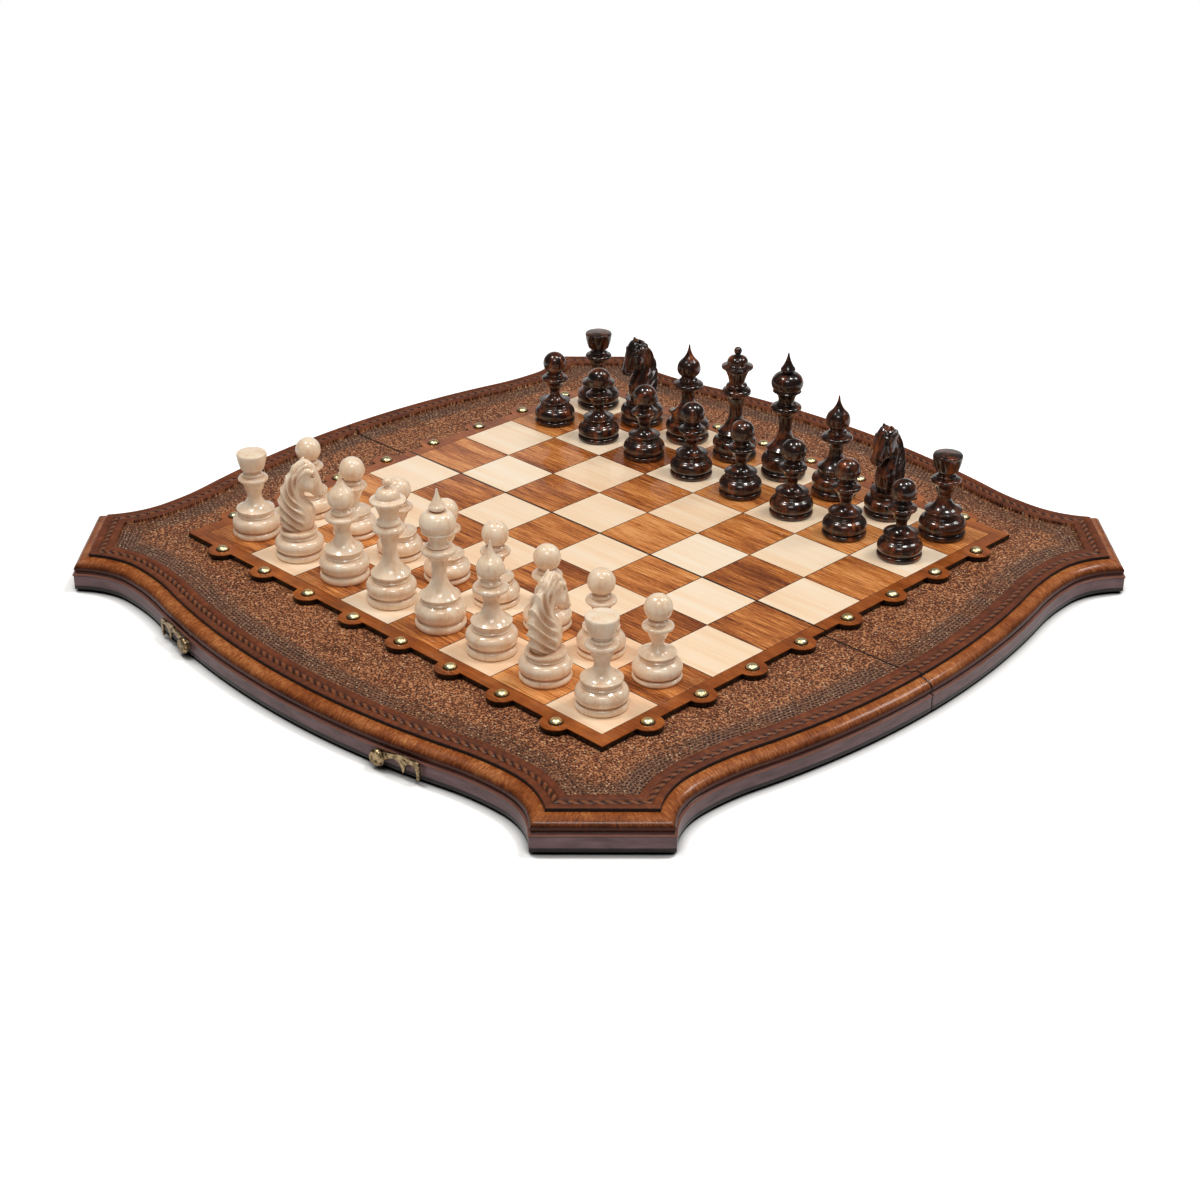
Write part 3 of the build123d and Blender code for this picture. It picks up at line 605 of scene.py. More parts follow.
def turned_wood(name, stops, crevice_shade, gloss, figure):
    """A man's polished wood, grain upright with a little curl, and painted shade in its grooves and
    under its rims, where its own ambient occlusion is low.
    Each man stands in another part of the same figure, so that no two match."""
    f = Finish(name, {"Specular IOR Level": 0.3, "Coat Weight": 1.0, "Coat Roughness": 0.07})
    x, y, z = f.parts(f.place())
    broad = f.noise(f.join(x, y, z * 0.16), 85.0, 3.0, 0.6, 0.8)
    fine = f.noise(f.join(x, y, z * 0.07), 620.0, 3.0, 0.6)
    blotch = f.noise(f.join(x, y, z * 0.6), 150.0, 3.0, 0.6)
    value = (broad - 0.5) * 0.5 * figure + (fine - 0.5) * 0.4 * figure + (blotch - 0.5) * 0.7 * figure + 0.5
    open_to_light = f.node(
        "ShaderNodeAmbientOcclusion", {"only_local": True, "samples": 6}, {"Distance": 0.009}, output="AO"
    )
    colour = f.ramp(value, *stops)
    # Painted shade: the crevice shade colour where the man's own ambient occlusion is low, in grooves and
    # under rims
    f.feed("Base Color", f.mix(open_to_light.step(0.25, 0.95, 0.85, 0.0), colour, crevice_shade))
    f.feed("Roughness", gloss + 0.12 * fine)
    f.feed("Normal", f.bump(fine * 0.6 + blotch * 0.4, 0.05, 0.0002))
    return f.material


def metal(name, dark, light, rough, foot=0.0):
    """Polished or aged metal: tarnish in soft clouds, and fine scratches. Below the height foot, in
    metres, it is painted nearly black, a painted shade round its foot."""
    f = Finish(name, {"Metallic": 1.0})
    spot = f.place()
    cloud = f.noise(spot, 420.0, 4.0, 0.6)
    scratch = f.noise(f.place(scale=(1.0, 0.15, 1.0)), 2600.0, 2.0, 0.5)
    colour = f.ramp(cloud, (0.35, dark), (0.6, light))
    if foot:
        # Painted shade: nearly black below the foot height
        colour = f.mix(f.parts(spot)[2].step(foot, foot + 0.0005), rgb(24, 14, 8), colour)
    f.feed("Base Color", colour)
    f.feed("Roughness", rough + 0.22 * (1 - cloud) + 0.08 * scratch)
    f.feed("Normal", f.bump(cloud * 0.6 + scratch * 0.4, 0.08, 0.0002))
    return f.material


moulding_finish = stained_moulding()
field_finish = punched_field()
rope_finish = rope_carving()
plate_finish = lacquered_plate()
box_finish = box_wood()
light_finish = veneer(
    "light veneer",
    [(0.2, rgb(242, 200, 160)), (0.5, rgb(252, 223, 189)), (0.8, rgb(255, 237, 212))],
    420.0,
    0.42,
    0.45,
)
dark_finish = veneer(
    "dark veneer",
    [(0.2, rgb(96, 40, 10)), (0.42, rgb(166, 90, 34)), (0.6, rgb(212, 132, 64)), (0.82, rgb(238, 172, 106))],
    1050.0,
    0.42,
    1.35,
)
# The third colour of each men's finish is its painted shade in grooves and under rims
pale_finish = turned_wood(
    "pale polished wood",
    [(0.2, rgb(226, 180, 140)), (0.45, rgb(248, 220, 188)), (0.8, rgb(255, 243, 222))],
    rgb(182, 112, 54),
    0.25,
    1.0,
)
dark_man_finish = turned_wood(
    "dark polished wood",
    [(0.3, rgb(10, 4, 2)), (0.5, rgb(42, 17, 8)), (0.66, rgb(112, 54, 22)), (0.84, rgb(186, 102, 44))],
    rgb(8, 3, 2),
    0.24,
    1.1,
)
# The tacks' washers, below the foot height, carry a painted shade, nearly black
tack_finish = metal("tack brass", rgb(226, 198, 134), rgb(254, 244, 202), 0.22, foot=0.0254)
latch_finish = metal("latch brass", rgb(44, 34, 26), rgb(200, 172, 130), 0.2)
hinge_finish = metal("hinge brass", rgb(150, 116, 60), rgb(200, 164, 100), 0.24)


# The moulded frame


def moulding_profile():
    """Insets and heights once round the frame's section, from the inner foot out and over the top:
    the wall, the bead as half an ellipse, the cove, and the rounded top as a quarter of one, 9.45 mm
    across and 6.1 mm high."""
    turn = np.radians(np.linspace(0, 90, 17))
    nose = np.stack([0.55 + 9.45 * (1 - np.cos(turn)), 15.2 + 6.1 * np.sin(turn)], 1)
    bead = np.radians(np.linspace(-90, 90, 9))
    beads = np.stack([-0.6 * np.cos(bead), 11.4 + 0.8 * np.sin(bead)], 1)
    line = [
        [16.0, 0.3],
        [15.7, 0.0],
        [0.5, 0.0],
        [0.15, 0.15],
        [0.0, 0.5],
        [0.0, 5.0],
        *beads.tolist(),
        [0.9, 12.25],
        [1.35, 12.6],
        [1.5, 13.2],
        [1.25, 14.0],
        [0.8, 14.6],
        *nose.tolist(),
        [10.0, tray_depth],
        [16.0, tray_depth],
    ]
    return np.array(line)


def eased(profile, rows, first, last):
    """Insets and heights for every row of a sweep, with the profile drawn in towards its middle by
    those distances on its first and last rows, which rounds the rail's ends."""
    middle = profile.mean(0)
    way = middle - profile
    way /= np.hypot(*way.T)[:, None]
    sections = np.broadcast_to(profile, (rows, *profile.shape)).copy()
    sections[0] += way * first
    sections[-1] += way * last
    return sections[..., 0], sections[..., 1]


def with_ends(t, first, last):
    """Steps with one more beside each end, at those distances from it."""
    sign = 1 if t[-1] > t[0] else -1
    return np.r_[t[0], t[0] + sign * first, t[1:-1], t[-1] - sign * last, t[-1]]


def swept(skin, x, y, heights, shift=0.0):
    """Joins rows of section points along a path into a tube. Its map gives the length along the path,
    read at the bead and shifted, so that no two rails have the same grain, and the length round the
    section."""
    along = shift + path_length(x[:, bead_foot], y[:, bead_foot])
    across = path_length(heights[1], path_length(x[1], y[1]))
    uv = uv_grid(np.r_[along, along[-1] + 1], np.r_[across, across[-1] + 1]) * MM
    skin.tube(np.stack([x, y, heights], 2), uv)


profile = moulding_profile()
bead_foot = 6  # the bead's first point in the profile
fold_start = fold_half_slit / (swell_radius * swell_half_turn)
for half, side in halves:
    body = half + "_half"
    outer_turn = 90 - 90 * side

    rail = Skin()
    t = with_ends(side_steps(-3.0, 3.0), 0.0033, 0.0033)
    insets, heights = eased(profile, len(t), 0.14, 0.14)
    x, y = turn_plan(*side_plan(t[:, None], insets), outer_turn)
    swept(rail, x, y, heights)
    rail.piece(half + "_outer_moulding", body, moulding_finish, "moulding", [half + "_outer_rail"])

    rails = Skin()
    for end in (-1, 1):
        t = with_ends(side_steps(fold_start, 3.0), 0.0035, 0.0033)
        insets, heights = eased(profile, len(t), 0.5, 0.14)
        x, y = turn_plan(*side_plan(-side * end * t[:, None], insets), -90 * end)
        swept(rails, x, y, heights, 700.0 * end)
    rails.piece(half + "_side_moulding", body, moulding_finish, "moulding", [half + "_side_rails"])

    blocks = Skin()
    for end in (-1, 1):
        k = with_ends(np.linspace(0, 1, 24), 0.0018, 0.0018)
        insets, heights = eased(profile, len(k), 0.14, 0.14)
        x, y = corner_plan(k[:, None], insets, outer_turn, end * side)
        swept(blocks, x, y, heights, 1900.0 + 300.0 * end)
    blocks.piece(half + "_corner_moulding", body, moulding_finish, "moulding", [half + "_corner_blocks"])


# The carved panel: its border band, the punched field, and the rope

# Insets and heights across the band: the outer ridge, the rope's hollow, the inner ridge, the field
band_profile = smooth_line(
    [
        (10.05, tray_depth),
        (10.05, 23.4),
        (10.7, 23.9),
        (11.8, 24.0),
        (13.4, 23.95),
        (14.6, 23.5),
        (15.1, 22.9),
        (17.3, 22.7),
        (19.6, 22.9),
        (20.1, 23.5),
        (21.4, 23.95),
        (23.2, 24.0),
        (24.3, 23.8),
        (24.9, 23.2),
        (25.1, field_z),
    ],
    0.12,
    0.16,
)
band_profile = thinned(band_profile, 0.015)
middle_half = 204.0  # of the panel's plain middle, which lies under the playing board
rope_inset = 17.6
rope_radius = 2.5
rope_z = 22.05
rope_pitch = 7.0


def half_path(side, inset, per_mm):
    """Plan points along a half's border from the fold on its +X side, round both corners, to the fold
    on its -X side: one row per step and one column per inset."""
    inset = np.asarray(inset, float)[None, :]
    down = side_steps(fold_start, 3.0, per_mm)
    down = np.r_[down[0], down[0] + 0.0035, down[1:]][:, None]
    full = side_steps(-3.0, 3.0, per_mm)[::-1][1:, None]
    k = np.linspace(0, 1, max(12, int(85 * per_mm)))[1:, None]
    rows = [
        turn_plan(*side_plan(-down, inset), -90),
        corner_plan(1 - k, inset, 0, 1),
        side_plan(full, inset),
        corner_plan(k, inset, 0, -1),
        turn_plan(*side_plan(down[::-1][1:], inset), 90),
    ]
    x = np.concatenate([np.broadcast_to(r[0], (r[0].shape[0], inset.shape[1])) for r in rows])
    y = np.concatenate([np.broadcast_to(r[1], (r[1].shape[0], inset.shape[1])) for r in rows])
    return x, side * y


def carved_panel(half, side):
    """The border's profile carried along a half's border, then the punched field, which runs in under
    the playing board to a square. Flat faces close its middle, its underside and its side at the fold,
    and its edges at the fold lie half a millimetre lower."""
    zone = np.linspace(25.1, 45.0, 8)[1:]
    insets = np.r_[band_profile[:, 0], zone]
    heights = np.r_[band_profile[:, 1], np.full(len(zone), field_z)]
    x, y = half_path(side, insets, 0.75)
    foot = len(band_profile) - 1
    along = path_length(x[:, foot], y[:, foot])
    z = np.broadcast_to(heights, x.shape).copy()
    z[[0, -1]] -= np.where(heights > 20, 0.5, 0)
    reach = np.maximum(np.abs(x[:, -1]), np.abs(y[:, -1]))
    inner_x = np.clip(x[:, -1] * middle_half / reach, -middle_half, middle_half)
    inner_y = np.where(np.abs(y[:, -1]) < 0.5, y[:, -1], y[:, -1] * middle_half / reach)
    grid = np.stack([np.c_[x, inner_x], np.c_[y, inner_y], np.c_[z, z[:, -1]]], 2)
    panel = Skin()
    panel.sheet(grid, uv_grid(np.r_[along, along[-1] + 1], np.r_[insets, 60.0, 61.0]) * MM)
    panel.flat(grid[:, 0])
    panel.flat(grid[::-1, -1])
    panel.flat(np.concatenate([grid[0], grid[-1, ::-1]]))
    name = half + "_carved_panel"
    panel.piece(name, half + "_half", field_finish, "carved_panel", [half + "_field_panel"], crease=55)


def carved_rope(half, side):
    """The twisted cord along the border: a ring carried along a path, with two strands where its radius
    is 0.76 + 0.24 |sin(turn - phase)| of its full size. The phase grows with the length along the path,
    and the ring is 0.72 as high as it is wide."""
    x, y = half_path(side, [rope_inset], 1.4)
    x, y = x[:, 0], y[:, 0]
    run = path_length(x, y)
    twist = round(run[-1] / rope_pitch)
    phase = np.pi * twist * run / run[-1]
    way = np.stack([np.gradient(x), np.gradient(y)], 1)
    way /= np.hypot(*way.T)[:, None]
    turn = np.linspace(0, 2 * np.pi, 16, endpoint=False)
    radius = rope_radius * (0.76 + 0.24 * np.abs(np.sin(turn[None, :] - phase[:, None])))
    out = radius * np.cos(turn)[None, :]
    up = 0.72 * radius * np.sin(turn)[None, :]
    grid = np.stack([x[:, None] - way[:, 1:2] * out, y[:, None] + way[:, 0:1] * out, rope_z + up], 2)
    rope = Skin()
    rope.tube(grid, uv_grid(np.r_[twist * run / run[-1], twist + 1.0], np.r_[turn, 2 * np.pi] / (2 * np.pi)))
    rope.piece(half + "_rope", half + "_half", rope_finish, "carved_panel", crease=80)


for half, side in halves:
    carved_panel(half, side)
    carved_rope(half, side)


# Pieces that keep the model's shape, with their sharp edges rounded

large_face = 3e-5  # in square metres


def softened(name, node, body, material, width, segments=2):
    """A copy of a modelled piece: its facets are merged, and each edge sharper than 30 degrees is
    rounded. Small faces are shaded smooth and large ones flat, so that a flat top reflects as a flat
    one, and the smooth shading is set last, because marking the sharp edges clears it."""
    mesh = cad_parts[node].data.copy()
    mesh.name = name
    work = bmesh.new()
    work.from_mesh(mesh)
    bmesh.ops.remove_doubles(work, verts=work.verts, dist=3e-6)
    bmesh.ops.dissolve_limit(work, angle_limit=radians(0.3), verts=work.verts, edges=work.edges)
    edges = [e for e in work.edges if len(e.link_faces) == 2 and e.calc_face_angle(0) > radians(30)]
    bmesh.ops.bevel(
        work,
        geom=edges,
        offset=width * MM,
        offset_type="OFFSET",
        segments=segments,
        profile=0.5,
        affect="EDGES",
        clamp_overlap=True,
    )
    bmesh.ops.recalc_face_normals(work, faces=work.faces)
    work.to_mesh(mesh)
    work.free()
    kept_normals = mesh.attributes.get("custom_normal")
    if kept_normals:
        mesh.attributes.remove(kept_normals)
    mesh.materials.clear()
    mesh.materials.append(material)
    mesh.polygons.foreach_set("material_index", np.zeros(len(mesh.polygons), np.int32))
    areas = np.zeros(len(mesh.polygons))
    mesh.polygons.foreach_get("area", areas)
    mesh.set_sharp_from_angle(angle=radians(50))
    mesh.polygons.foreach_set("use_smooth", areas < large_face)
    placed(name, mesh, body, [node])


for half in ("near", "far"):
    for name, node, material, slot, width in (
        (half + "_board_plate", half + "_play_plate", plate_finish, "play_plate", 0.7),
        (half + "_light_veneers", half + "_light_squares", light_finish, "light_veneer", 0.22),
        (half + "_dark_veneers", half + "_dark_squares", dark_finish, "dark_veneer", 0.22),
        (half + "_hinge_bar", half + "_hinge_rail", box_finish, "plain_rail", 0.3),
        ("leaves_" + half, "hinge_leaves_" + half, hinge_finish, "hinge_brass", 0.12),
        ("screws_" + half, "hinge_screws_" + half, hinge_finish, "hinge_brass", 0.1),
    ):
        softened(name, node, half + "_half", material, width, 3 if slot == "play_plate" else 2)
softened("pins", "hinge_pins", "near_half", hinge_finish, 0.1)
for name, node, body, width in (
    ("washers", "latch_washers", "near_half", 0.25),
    ("pivots", "latch_pivots", "near_half", 0.3),
    ("studs", "catch_studs", "far_half", 0.25),
    ("hook_left_cast", "latch_hook_left", "hook_left", 0.35),
    ("hook_right_cast", "latch_hook_right", "hook_right", 0.35),
):
    softened(name, node, body, latch_finish, width)


# Turned pieces


def turned(skin, line, x, y, z, around):
    """Turns a line of radius and height about an upright axis. Its map runs once round, and up by 1 for
    each 50 mm."""
    turn = np.linspace(0, 2 * np.pi, around, endpoint=False)
    grid = np.stack(
        [
            x + np.cos(turn)[:, None] * line[None, :, 0],
            y + np.sin(turn)[:, None] * line[None, :, 0],
            z + np.broadcast_to(line[:, 1], (around, len(line))),
        ],
        2,
    )
    heights = np.r_[line[:, 1], line[-1, 1] + 1] * 0.02
    skin.sheet(grid, uv_grid(np.linspace(0, 1, around + 1), heights), wrap=(True, False))


# A tack's outline: its thin washer, then a dome 8.5 mm across and 2.4 mm high, which is an ellipse from
# 12 to 90 degrees
tack_turn = np.radians(np.linspace(12, 90, 9))
dome_out = 4.25 * np.cos(tack_turn) / np.cos(tack_turn[0])
dome_up = 0.4 + 2.4 * (np.sin(tack_turn) - np.sin(tack_turn[0])) / (1 - np.sin(tack_turn[0]))
washer = [(0.0, -0.2), (4.75, -0.2), (4.75, 0.3), (4.5, 0.45), (4.25, 0.4)]
tack_outline = np.r_[washer, np.stack([dome_out, dome_up], 1)[1:]]
tack_outline[-1, 0] = 0.0
steps = (np.arange(4) + 0.5) * tack_pitch
for half, side in halves:
    tacks = Skin()
    places = [(s * e, side * tack_line) for s in steps for e in (-1, 1)]
    places += [(e * tack_line, side * s) for s in steps for e in (-1, 1)]
    for x, y in places:
        turned(tacks, tack_outline, x, y, plate_top, 28)
    tacks.piece(half + "_dome_tacks", half + "_half", tack_finish, "tack_brass", [half + "_tacks"], crease=40)


def man_line(steps):
    """A man's outline in radius and height. A step of two numbers is a straight line, of four an arc
    through a point, and of one a ball up to that height; the corners are then rounded."""
    points = [(0.0, 0.0)]
    for step in steps:
        last = points[-1]
        if len(step) == 1:
            rise = step[0] - last[1]
            ball = (last[0] ** 2 + rise**2) / (2 * rise)
            middle = atan2(last[0], ball - rise) / 2
            step = (ball * sin(middle), step[0] - ball + ball * cos(middle), 0.0, step[0])
        if len(step) == 2:
            points.append(tuple(step))
        else:
            points += [tuple(p) for p in arc_points(last, step[:2], step[2:], 24)]
    line = smooth_line(points, 0.08, 0.2)
    line[:, 0] = np.maximum(line[:, 0], 0)
    line[:, 1] = np.maximum(line[:, 1], 0)
    return thinned(line, 0.018)


def turned_base(foot, foot_height, cushion, cushion_z, cushion_top, ring, ring_z, rim, rim_z):
    """The foot, the cushion above its groove, the thin ring, and the rim where the waist starts."""
    groove = foot - 2.1
    return [
        (foot - 1.2, 0.0),
        (foot, 0.42 * foot_height, foot - 1.2, foot_height),
        (groove, foot_height + 0.3),
        (groove, foot_height + 1.0),
        (
            cushion - 0.55,
            foot_height + 0.3 * (cushion_z - foot_height),
            cushion,
            0.4 * foot_height + 0.6 * cushion_z,
        ),
        (cushion - 1.0, (cushion_z + 1.2 * cushion_top) / 2.2, ring + 0.5, cushion_top),
        (ring - 0.4, ring_z - 0.7),
        (ring, ring_z, ring - 0.4, ring_z + 0.7),
        (ring - 0.9, ring_z + 1.0),
        (rim - 0.3, rim_z - 1.0),
        (rim, rim_z - 0.5, rim - 0.4, rim_z),
    ]


# The men's outlines, each a base and then the steps above it that man_line reads
base_radius = 17.25
outlines = {}
outlines["king"] = turned_base(base_radius, 5.5, 17.0, 13.3, 17.7, 13.25, 18.95, 13.75, 23.25) + [
    (7.4, 29.6, 4.9, 39.5),
    (5.1, 44.0, 5.9, 47.5),
    (7.6, 51.0, 10.6, 53.4),
    (11.75, 55.3, 10.2, 57.3),
    (7.0, 57.9),
    (7.65, 58.7, 6.8, 59.6),
    (6.0, 60.2),
    (6.2, 61.6),
    (7.6, 66.0, 11.05, 68.6),
    (10.3, 69.4),
    (10.0, 70.0),
    (12.15, 74.9, 11.3, 78.6),
    (8.6, 81.9, 3.9, 83.2),
    (3.5, 83.6),
    (5.55, 85.3, 4.7, 87.6),
    (2.3, 92.2, 0.6, 98.6),
    (99.15,),
]
outlines["queen"] = turned_base(base_radius, 5.5, 17.0, 13.3, 16.2, 13.2, 17.3, 13.75, 22.0) + [
    (7.6, 28.0, 5.2, 37.5),
    (5.5, 43.4, 7.0, 48.0),
    (8.2, 50.4, 10.2, 52.2),
    (11.25, 54.4, 9.6, 56.6),
    (7.6, 57.2),
    (8.3, 58.9, 7.4, 60.4),
    (6.0, 61.4),
    (6.0, 62.0),
    (7.3, 67.0, 9.5, 72.0),
    (12.25, 73.9),
    (12.2, 75.2),
    (10.2, 75.6),
    (7.9, 76.8),
    (7.5, 80.6, 4.6, 83.0),
    (2.0, 83.9),
    (2.0, 84.9),
    (90.35,),
]
outlines["bishop"] = turned_base(base_radius, 5.5, 17.0, 13.3, 16.2, 13.2, 17.2, 13.75, 22.75) + [
    (7.6, 27.6, 5.15, 35.0),
    (5.5, 38.4, 6.7, 40.9),
    (8.0, 42.4, 10.4, 43.9),
    (11.8, 45.8, 10.2, 47.6),
    (7.0, 48.1),
    (7.35, 49.5, 6.7, 50.8),
    (5.75, 51.6),
    (5.75, 53.4),
    (8.6, 56.3, 9.1, 60.0),
    (8.3, 63.6, 5.7, 66.8),
    (2.2, 72.0, 0.6, 78.6),
    (79.2,),
]
outlines["rook"] = turned_base(base_radius, 4.6, 17.0, 10.6, 14.5, 13.25, 15.65, 13.75, 20.5) + [
    (7.4, 24.4, 5.0, 29.0),
    (5.5, 32.6, 6.75, 35.3),
    (7.6, 38.2, 9.8, 41.4),
    (10.75, 43.0, 9.4, 44.6),
    (6.9, 45.1),
    (7.3, 46.0, 6.7, 47.0),
    (5.6, 47.8),
    (5.9, 48.8),
    (8.2, 50.5),
    (9.6, 54.6, 10.75, 61.2),
    (10.75, 62.0),
    (10.3, 62.8),
    (63.5,),
]
outlines["pawn"] = turned_base(16.25, 3.9, 16.15, 8.75, 13.4, 12.0, 15.0, 12.45, 18.85) + [
    (6.2, 20.6, 3.95, 23.85),
    (4.2, 27.0, 5.65, 29.6),
    (7.2, 33.4, 9.4, 35.6),
    (10.35, 37.1, 9.0, 38.5),
    (6.5, 39.1),
    (6.9, 40.3, 6.2, 41.3),
    (5.0, 42.2),
    (59.1,),
]
outlines["knight"] = turned_base(base_radius, 4.6, 17.1, 11.0, 14.6, 13.0, 15.6, 13.4, 19.6) + [
    (13.0, 20.4),
    (0.0, 20.4),
]
lines = {kind: man_line(outline) for kind, outline in outlines.items()}


def smooth_curve(points, count):
    """Even steps along the natural curve through the points, found with centripetal Catmull-Rom."""
    p = np.asarray(points, float)
    p = np.vstack([2 * p[0] - p[1], p, 2 * p[-1] - p[-2]])
    out = []
    for k in range(len(p) - 3):
        p0, p1, p2, p3 = p[k : k + 4]
        t1 = np.linalg.norm(p1 - p0) ** 0.5
        t2 = t1 + np.linalg.norm(p2 - p1) ** 0.5
        t3 = t2 + np.linalg.norm(p3 - p2) ** 0.5
        t = np.linspace(t1, t2, 24, endpoint=False)[:, None]
        a1 = (t1 - t) / t1 * p0 + t / t1 * p1
        a2 = (t2 - t) / (t2 - t1) * p1 + (t - t1) / (t2 - t1) * p2
        a3 = (t3 - t) / (t3 - t2) * p2 + (t - t2) / (t3 - t2) * p3
        b1 = (t2 - t) / t2 * a1 + t / t2 * a2
        b2 = (t3 - t) / (t3 - t1) * a2 + (t - t1) / (t3 - t1) * a3
        out.append((t2 - t) / (t2 - t1) * b1 + (t - t1) / (t2 - t1) * b2)
    out = np.vstack(out + [p[-2:-1]])
    run = np.r_[0, np.cumsum(np.linalg.norm(np.diff(out, axis=0), axis=1))]
    at = np.linspace(0, run[-1], count)
    return np.stack([np.interp(at, run, out[:, k]) for k in range(out.shape[1])], 1)


# Stations up a knight's neck and out along his head: the point on the mane and face, the point on
# the chest and jaw, and the half width between them, all in mm forward of the middle and up
knight_stations = [
    (-9.4, 20.2, 9.6, 20.2, 7.2),
    (-11.8, 26.2, 11.9, 26.6, 8.0),
    (-12.9, 35.8, 12.2, 34.8, 7.9),
    (-11.9, 45.6, 8.4, 41.2, 6.9),
    (-8.8, 55.0, 5.6, 45.2, 6.3),
    (-4.2, 62.4, 5.6, 47.6, 6.2),
    (1.0, 68.4, 6.8, 48.6, 6.7),
    (6.0, 70.8, 8.6, 47.8, 7.0),
    (10.4, 70.0, 10.2, 46.4, 6.7),
    (13.8, 66.8, 11.6, 45.0, 5.9),
    (16.1, 61.4, 12.8, 43.6, 4.9),
    (17.6, 56.0, 14.2, 42.7, 4.3),
    (18.8, 51.0, 15.8, 42.3, 4.1),
    (19.4, 47.0, 17.2, 42.6, 3.5),
    (19.3, 45.0, 18.2, 43.4, 2.2),
]


def share(x, width):
    """How much of the width x has reached, from 0 to 1."""
    return np.clip(x / width, 0, 1)


def bump_at(u, v, u0, v0, ru, rv):
    """A smooth hill of height 1 at (u0, v0) with those radii, half a wave of a cosine."""
    d = np.sqrt(((u - u0) / ru) ** 2 + ((v - v0) / rv) ** 2)
    return np.where(d < 1, 0.5 + 0.5 * np.cos(np.pi * np.clip(d, 0, 1)), 0)


def knight_head():
    """The carved head in the knight's own axes: a tube of oval sections from the neck's foot to the
    muzzle. Its points move out along their own normals for the mane's slanting locks, the crown's
    hair, the cheeks, brows and muzzle, and in for the eye sockets, the nostrils and the mouth."""
    rows = 210
    stations = smooth_curve(knight_stations, rows)
    back, front, half = stations[:, 0:2], stations[:, 2:4], stations[:, 4]
    turn = np.linspace(0, 2 * np.pi, 108, endpoint=False)
    middle, reach = (back + front) / 2, (front - back) / 2
    c, s = np.cos(turn)[None, :], np.sin(turn)[None, :]
    forward = middle[:, 0:1] + reach[:, 0:1] * np.sign(c) * np.abs(c) ** 0.9
    height = middle[:, 1:2] + reach[:, 1:2] * np.sign(c) * np.abs(c) ** 0.9
    width = half[:, None] * np.sign(s) * np.abs(s) ** 0.85
    skin = np.stack([forward, width, height], 2)
    along = np.gradient(skin, axis=0)
    round_it = np.roll(skin, -1, 1) - np.roll(skin, 1, 1)
    normal = np.cross(round_it, along)
    normal /= np.linalg.norm(normal, axis=2, keepdims=True) + 1e-9
    centre = np.stack([middle[:, 0], 0 * half, middle[:, 1]], 1)[:, None]
    normal *= np.where(((skin - centre) * normal).sum(2, keepdims=True) < 0, -1, 1)
    v = np.linspace(0, 1, rows)[:, None]
    from_back = (1 + c) / 2
    border = 0.66 - 0.2 * share(v - 0.3, 0.25)
    side = share(from_back, border)
    mane = share(1 - side, 0.2) * share(v, 0.05) * share(0.62 - v, 0.1)
    slant = v * 10.0 + 3.4 * from_back
    groove = np.abs(np.sin(np.pi * slant)) ** 0.9 * (0.45 + 0.55 * np.sin(np.pi * side) ** 0.5)
    strand = np.abs(np.sin(np.pi * (slant * 4 + 0.5 * np.sin(2 * np.pi * slant))))
    swell = mane * (1.1 - 3.1 * groove + 0.35 * strand)
    crown = share(0.42 - from_back, 0.12) * share(v - 0.5, 0.06) * share(0.74 - v, 0.06)
    hair = np.abs(np.sin(7 * turn[None, :] + 9 * v + 0.8 * np.sin(30 * v)))
    swell += crown * (0.1 + 1.0 * hair)
    facing = np.abs(s)
    for out, u0, v0, ru, rv in (
        (1.7, 8.6, 52.6, 6.4, 6.6),  # cheek
        (1.3, 11.4, 64.0, 3.6, 2.6),  # brow
        (-1.5, 12.0, 61.2, 2.8, 1.9),  # eye socket
        (1.3, 17.2, 47.2, 2.8, 2.8),  # muzzle
        (-1.9, 17.9, 47.6, 1.1, 1.2),  # nostril
        (-1.3, 3.6, 50.0, 2.2, 6.5),  # behind the jaw
        (0.9, 13.0, 56.0, 1.2, 8.0),  # ridge of the face
    ):
        swell += out * bump_at(forward, height, u0, v0, ru, rv) * facing
    swell -= 1.3 * bump_at(forward + 0.6 * (height - 44), height, 15.2, 44.4, 3.4, 0.9) * facing
    return skin + normal * swell[..., None]


def knight_ear(hand):
    """One ear: a leaf of oval sections from its root to its tip, hollowed in front."""
    t, turn = np.linspace(0, 1, 18)[:, None], np.linspace(0, 2 * np.pi, 20, endpoint=False)[None, :]
    size = 2.9 * np.sin(np.pi * (0.36 + 0.61 * t)) ** 0.8
    hollow = 1 - 0.55 * np.clip(np.cos(turn), 0, 1) ** 2 * np.sin(np.pi * t)
    forward = 4.2 + 2.2 * t + size * 0.85 * np.cos(turn) * hollow
    width = hand * (3.0 + 0.5 * t) + size * 0.72 * np.sin(turn)
    height = 66.6 + 6.0 * t + 0 * turn
    return np.stack([forward, width, height], 2)


def knight_forelock(k):
    """A lock of the forelock: a tapered strand that lies down the forehead between the ears."""
    t, turn = np.linspace(0, 1, 20)[:, None], np.linspace(0, 2 * np.pi, 14, endpoint=False)[None, :]
    size = 1.55 * np.sin(np.pi * (0.12 + 0.86 * t)) ** 0.7
    forward = 5.6 + 9.6 * t - 1.2 * t**2 + size * 0.6 * np.cos(turn)
    height = 70.2 + 1.2 * t - 7.6 * t**2 + size * 0.6 * np.cos(turn) * 0.6
    width = k * (1.5 + 1.1 * np.sin(2.6 * t)) + size * np.sin(turn)
    return np.stack([forward, width, height], 2)


def knight_eye(hand):
    """An eyeball: a ball of radius 1.3 forward, 0.9 outward and 1.0 up."""
    a = np.linspace(0, np.pi, 9)[:, None]
    b = np.linspace(0, 2 * np.pi, 14, endpoint=False)[None, :]
    forward = 12.1 + 1.3 * np.sin(a) * np.cos(b)
    width = hand * 5.3 + 0.9 * np.cos(a) + 0 * b
    height = 61.4 + 1.0 * np.sin(a) * np.sin(b)
    return np.stack([forward, width, height], 2)


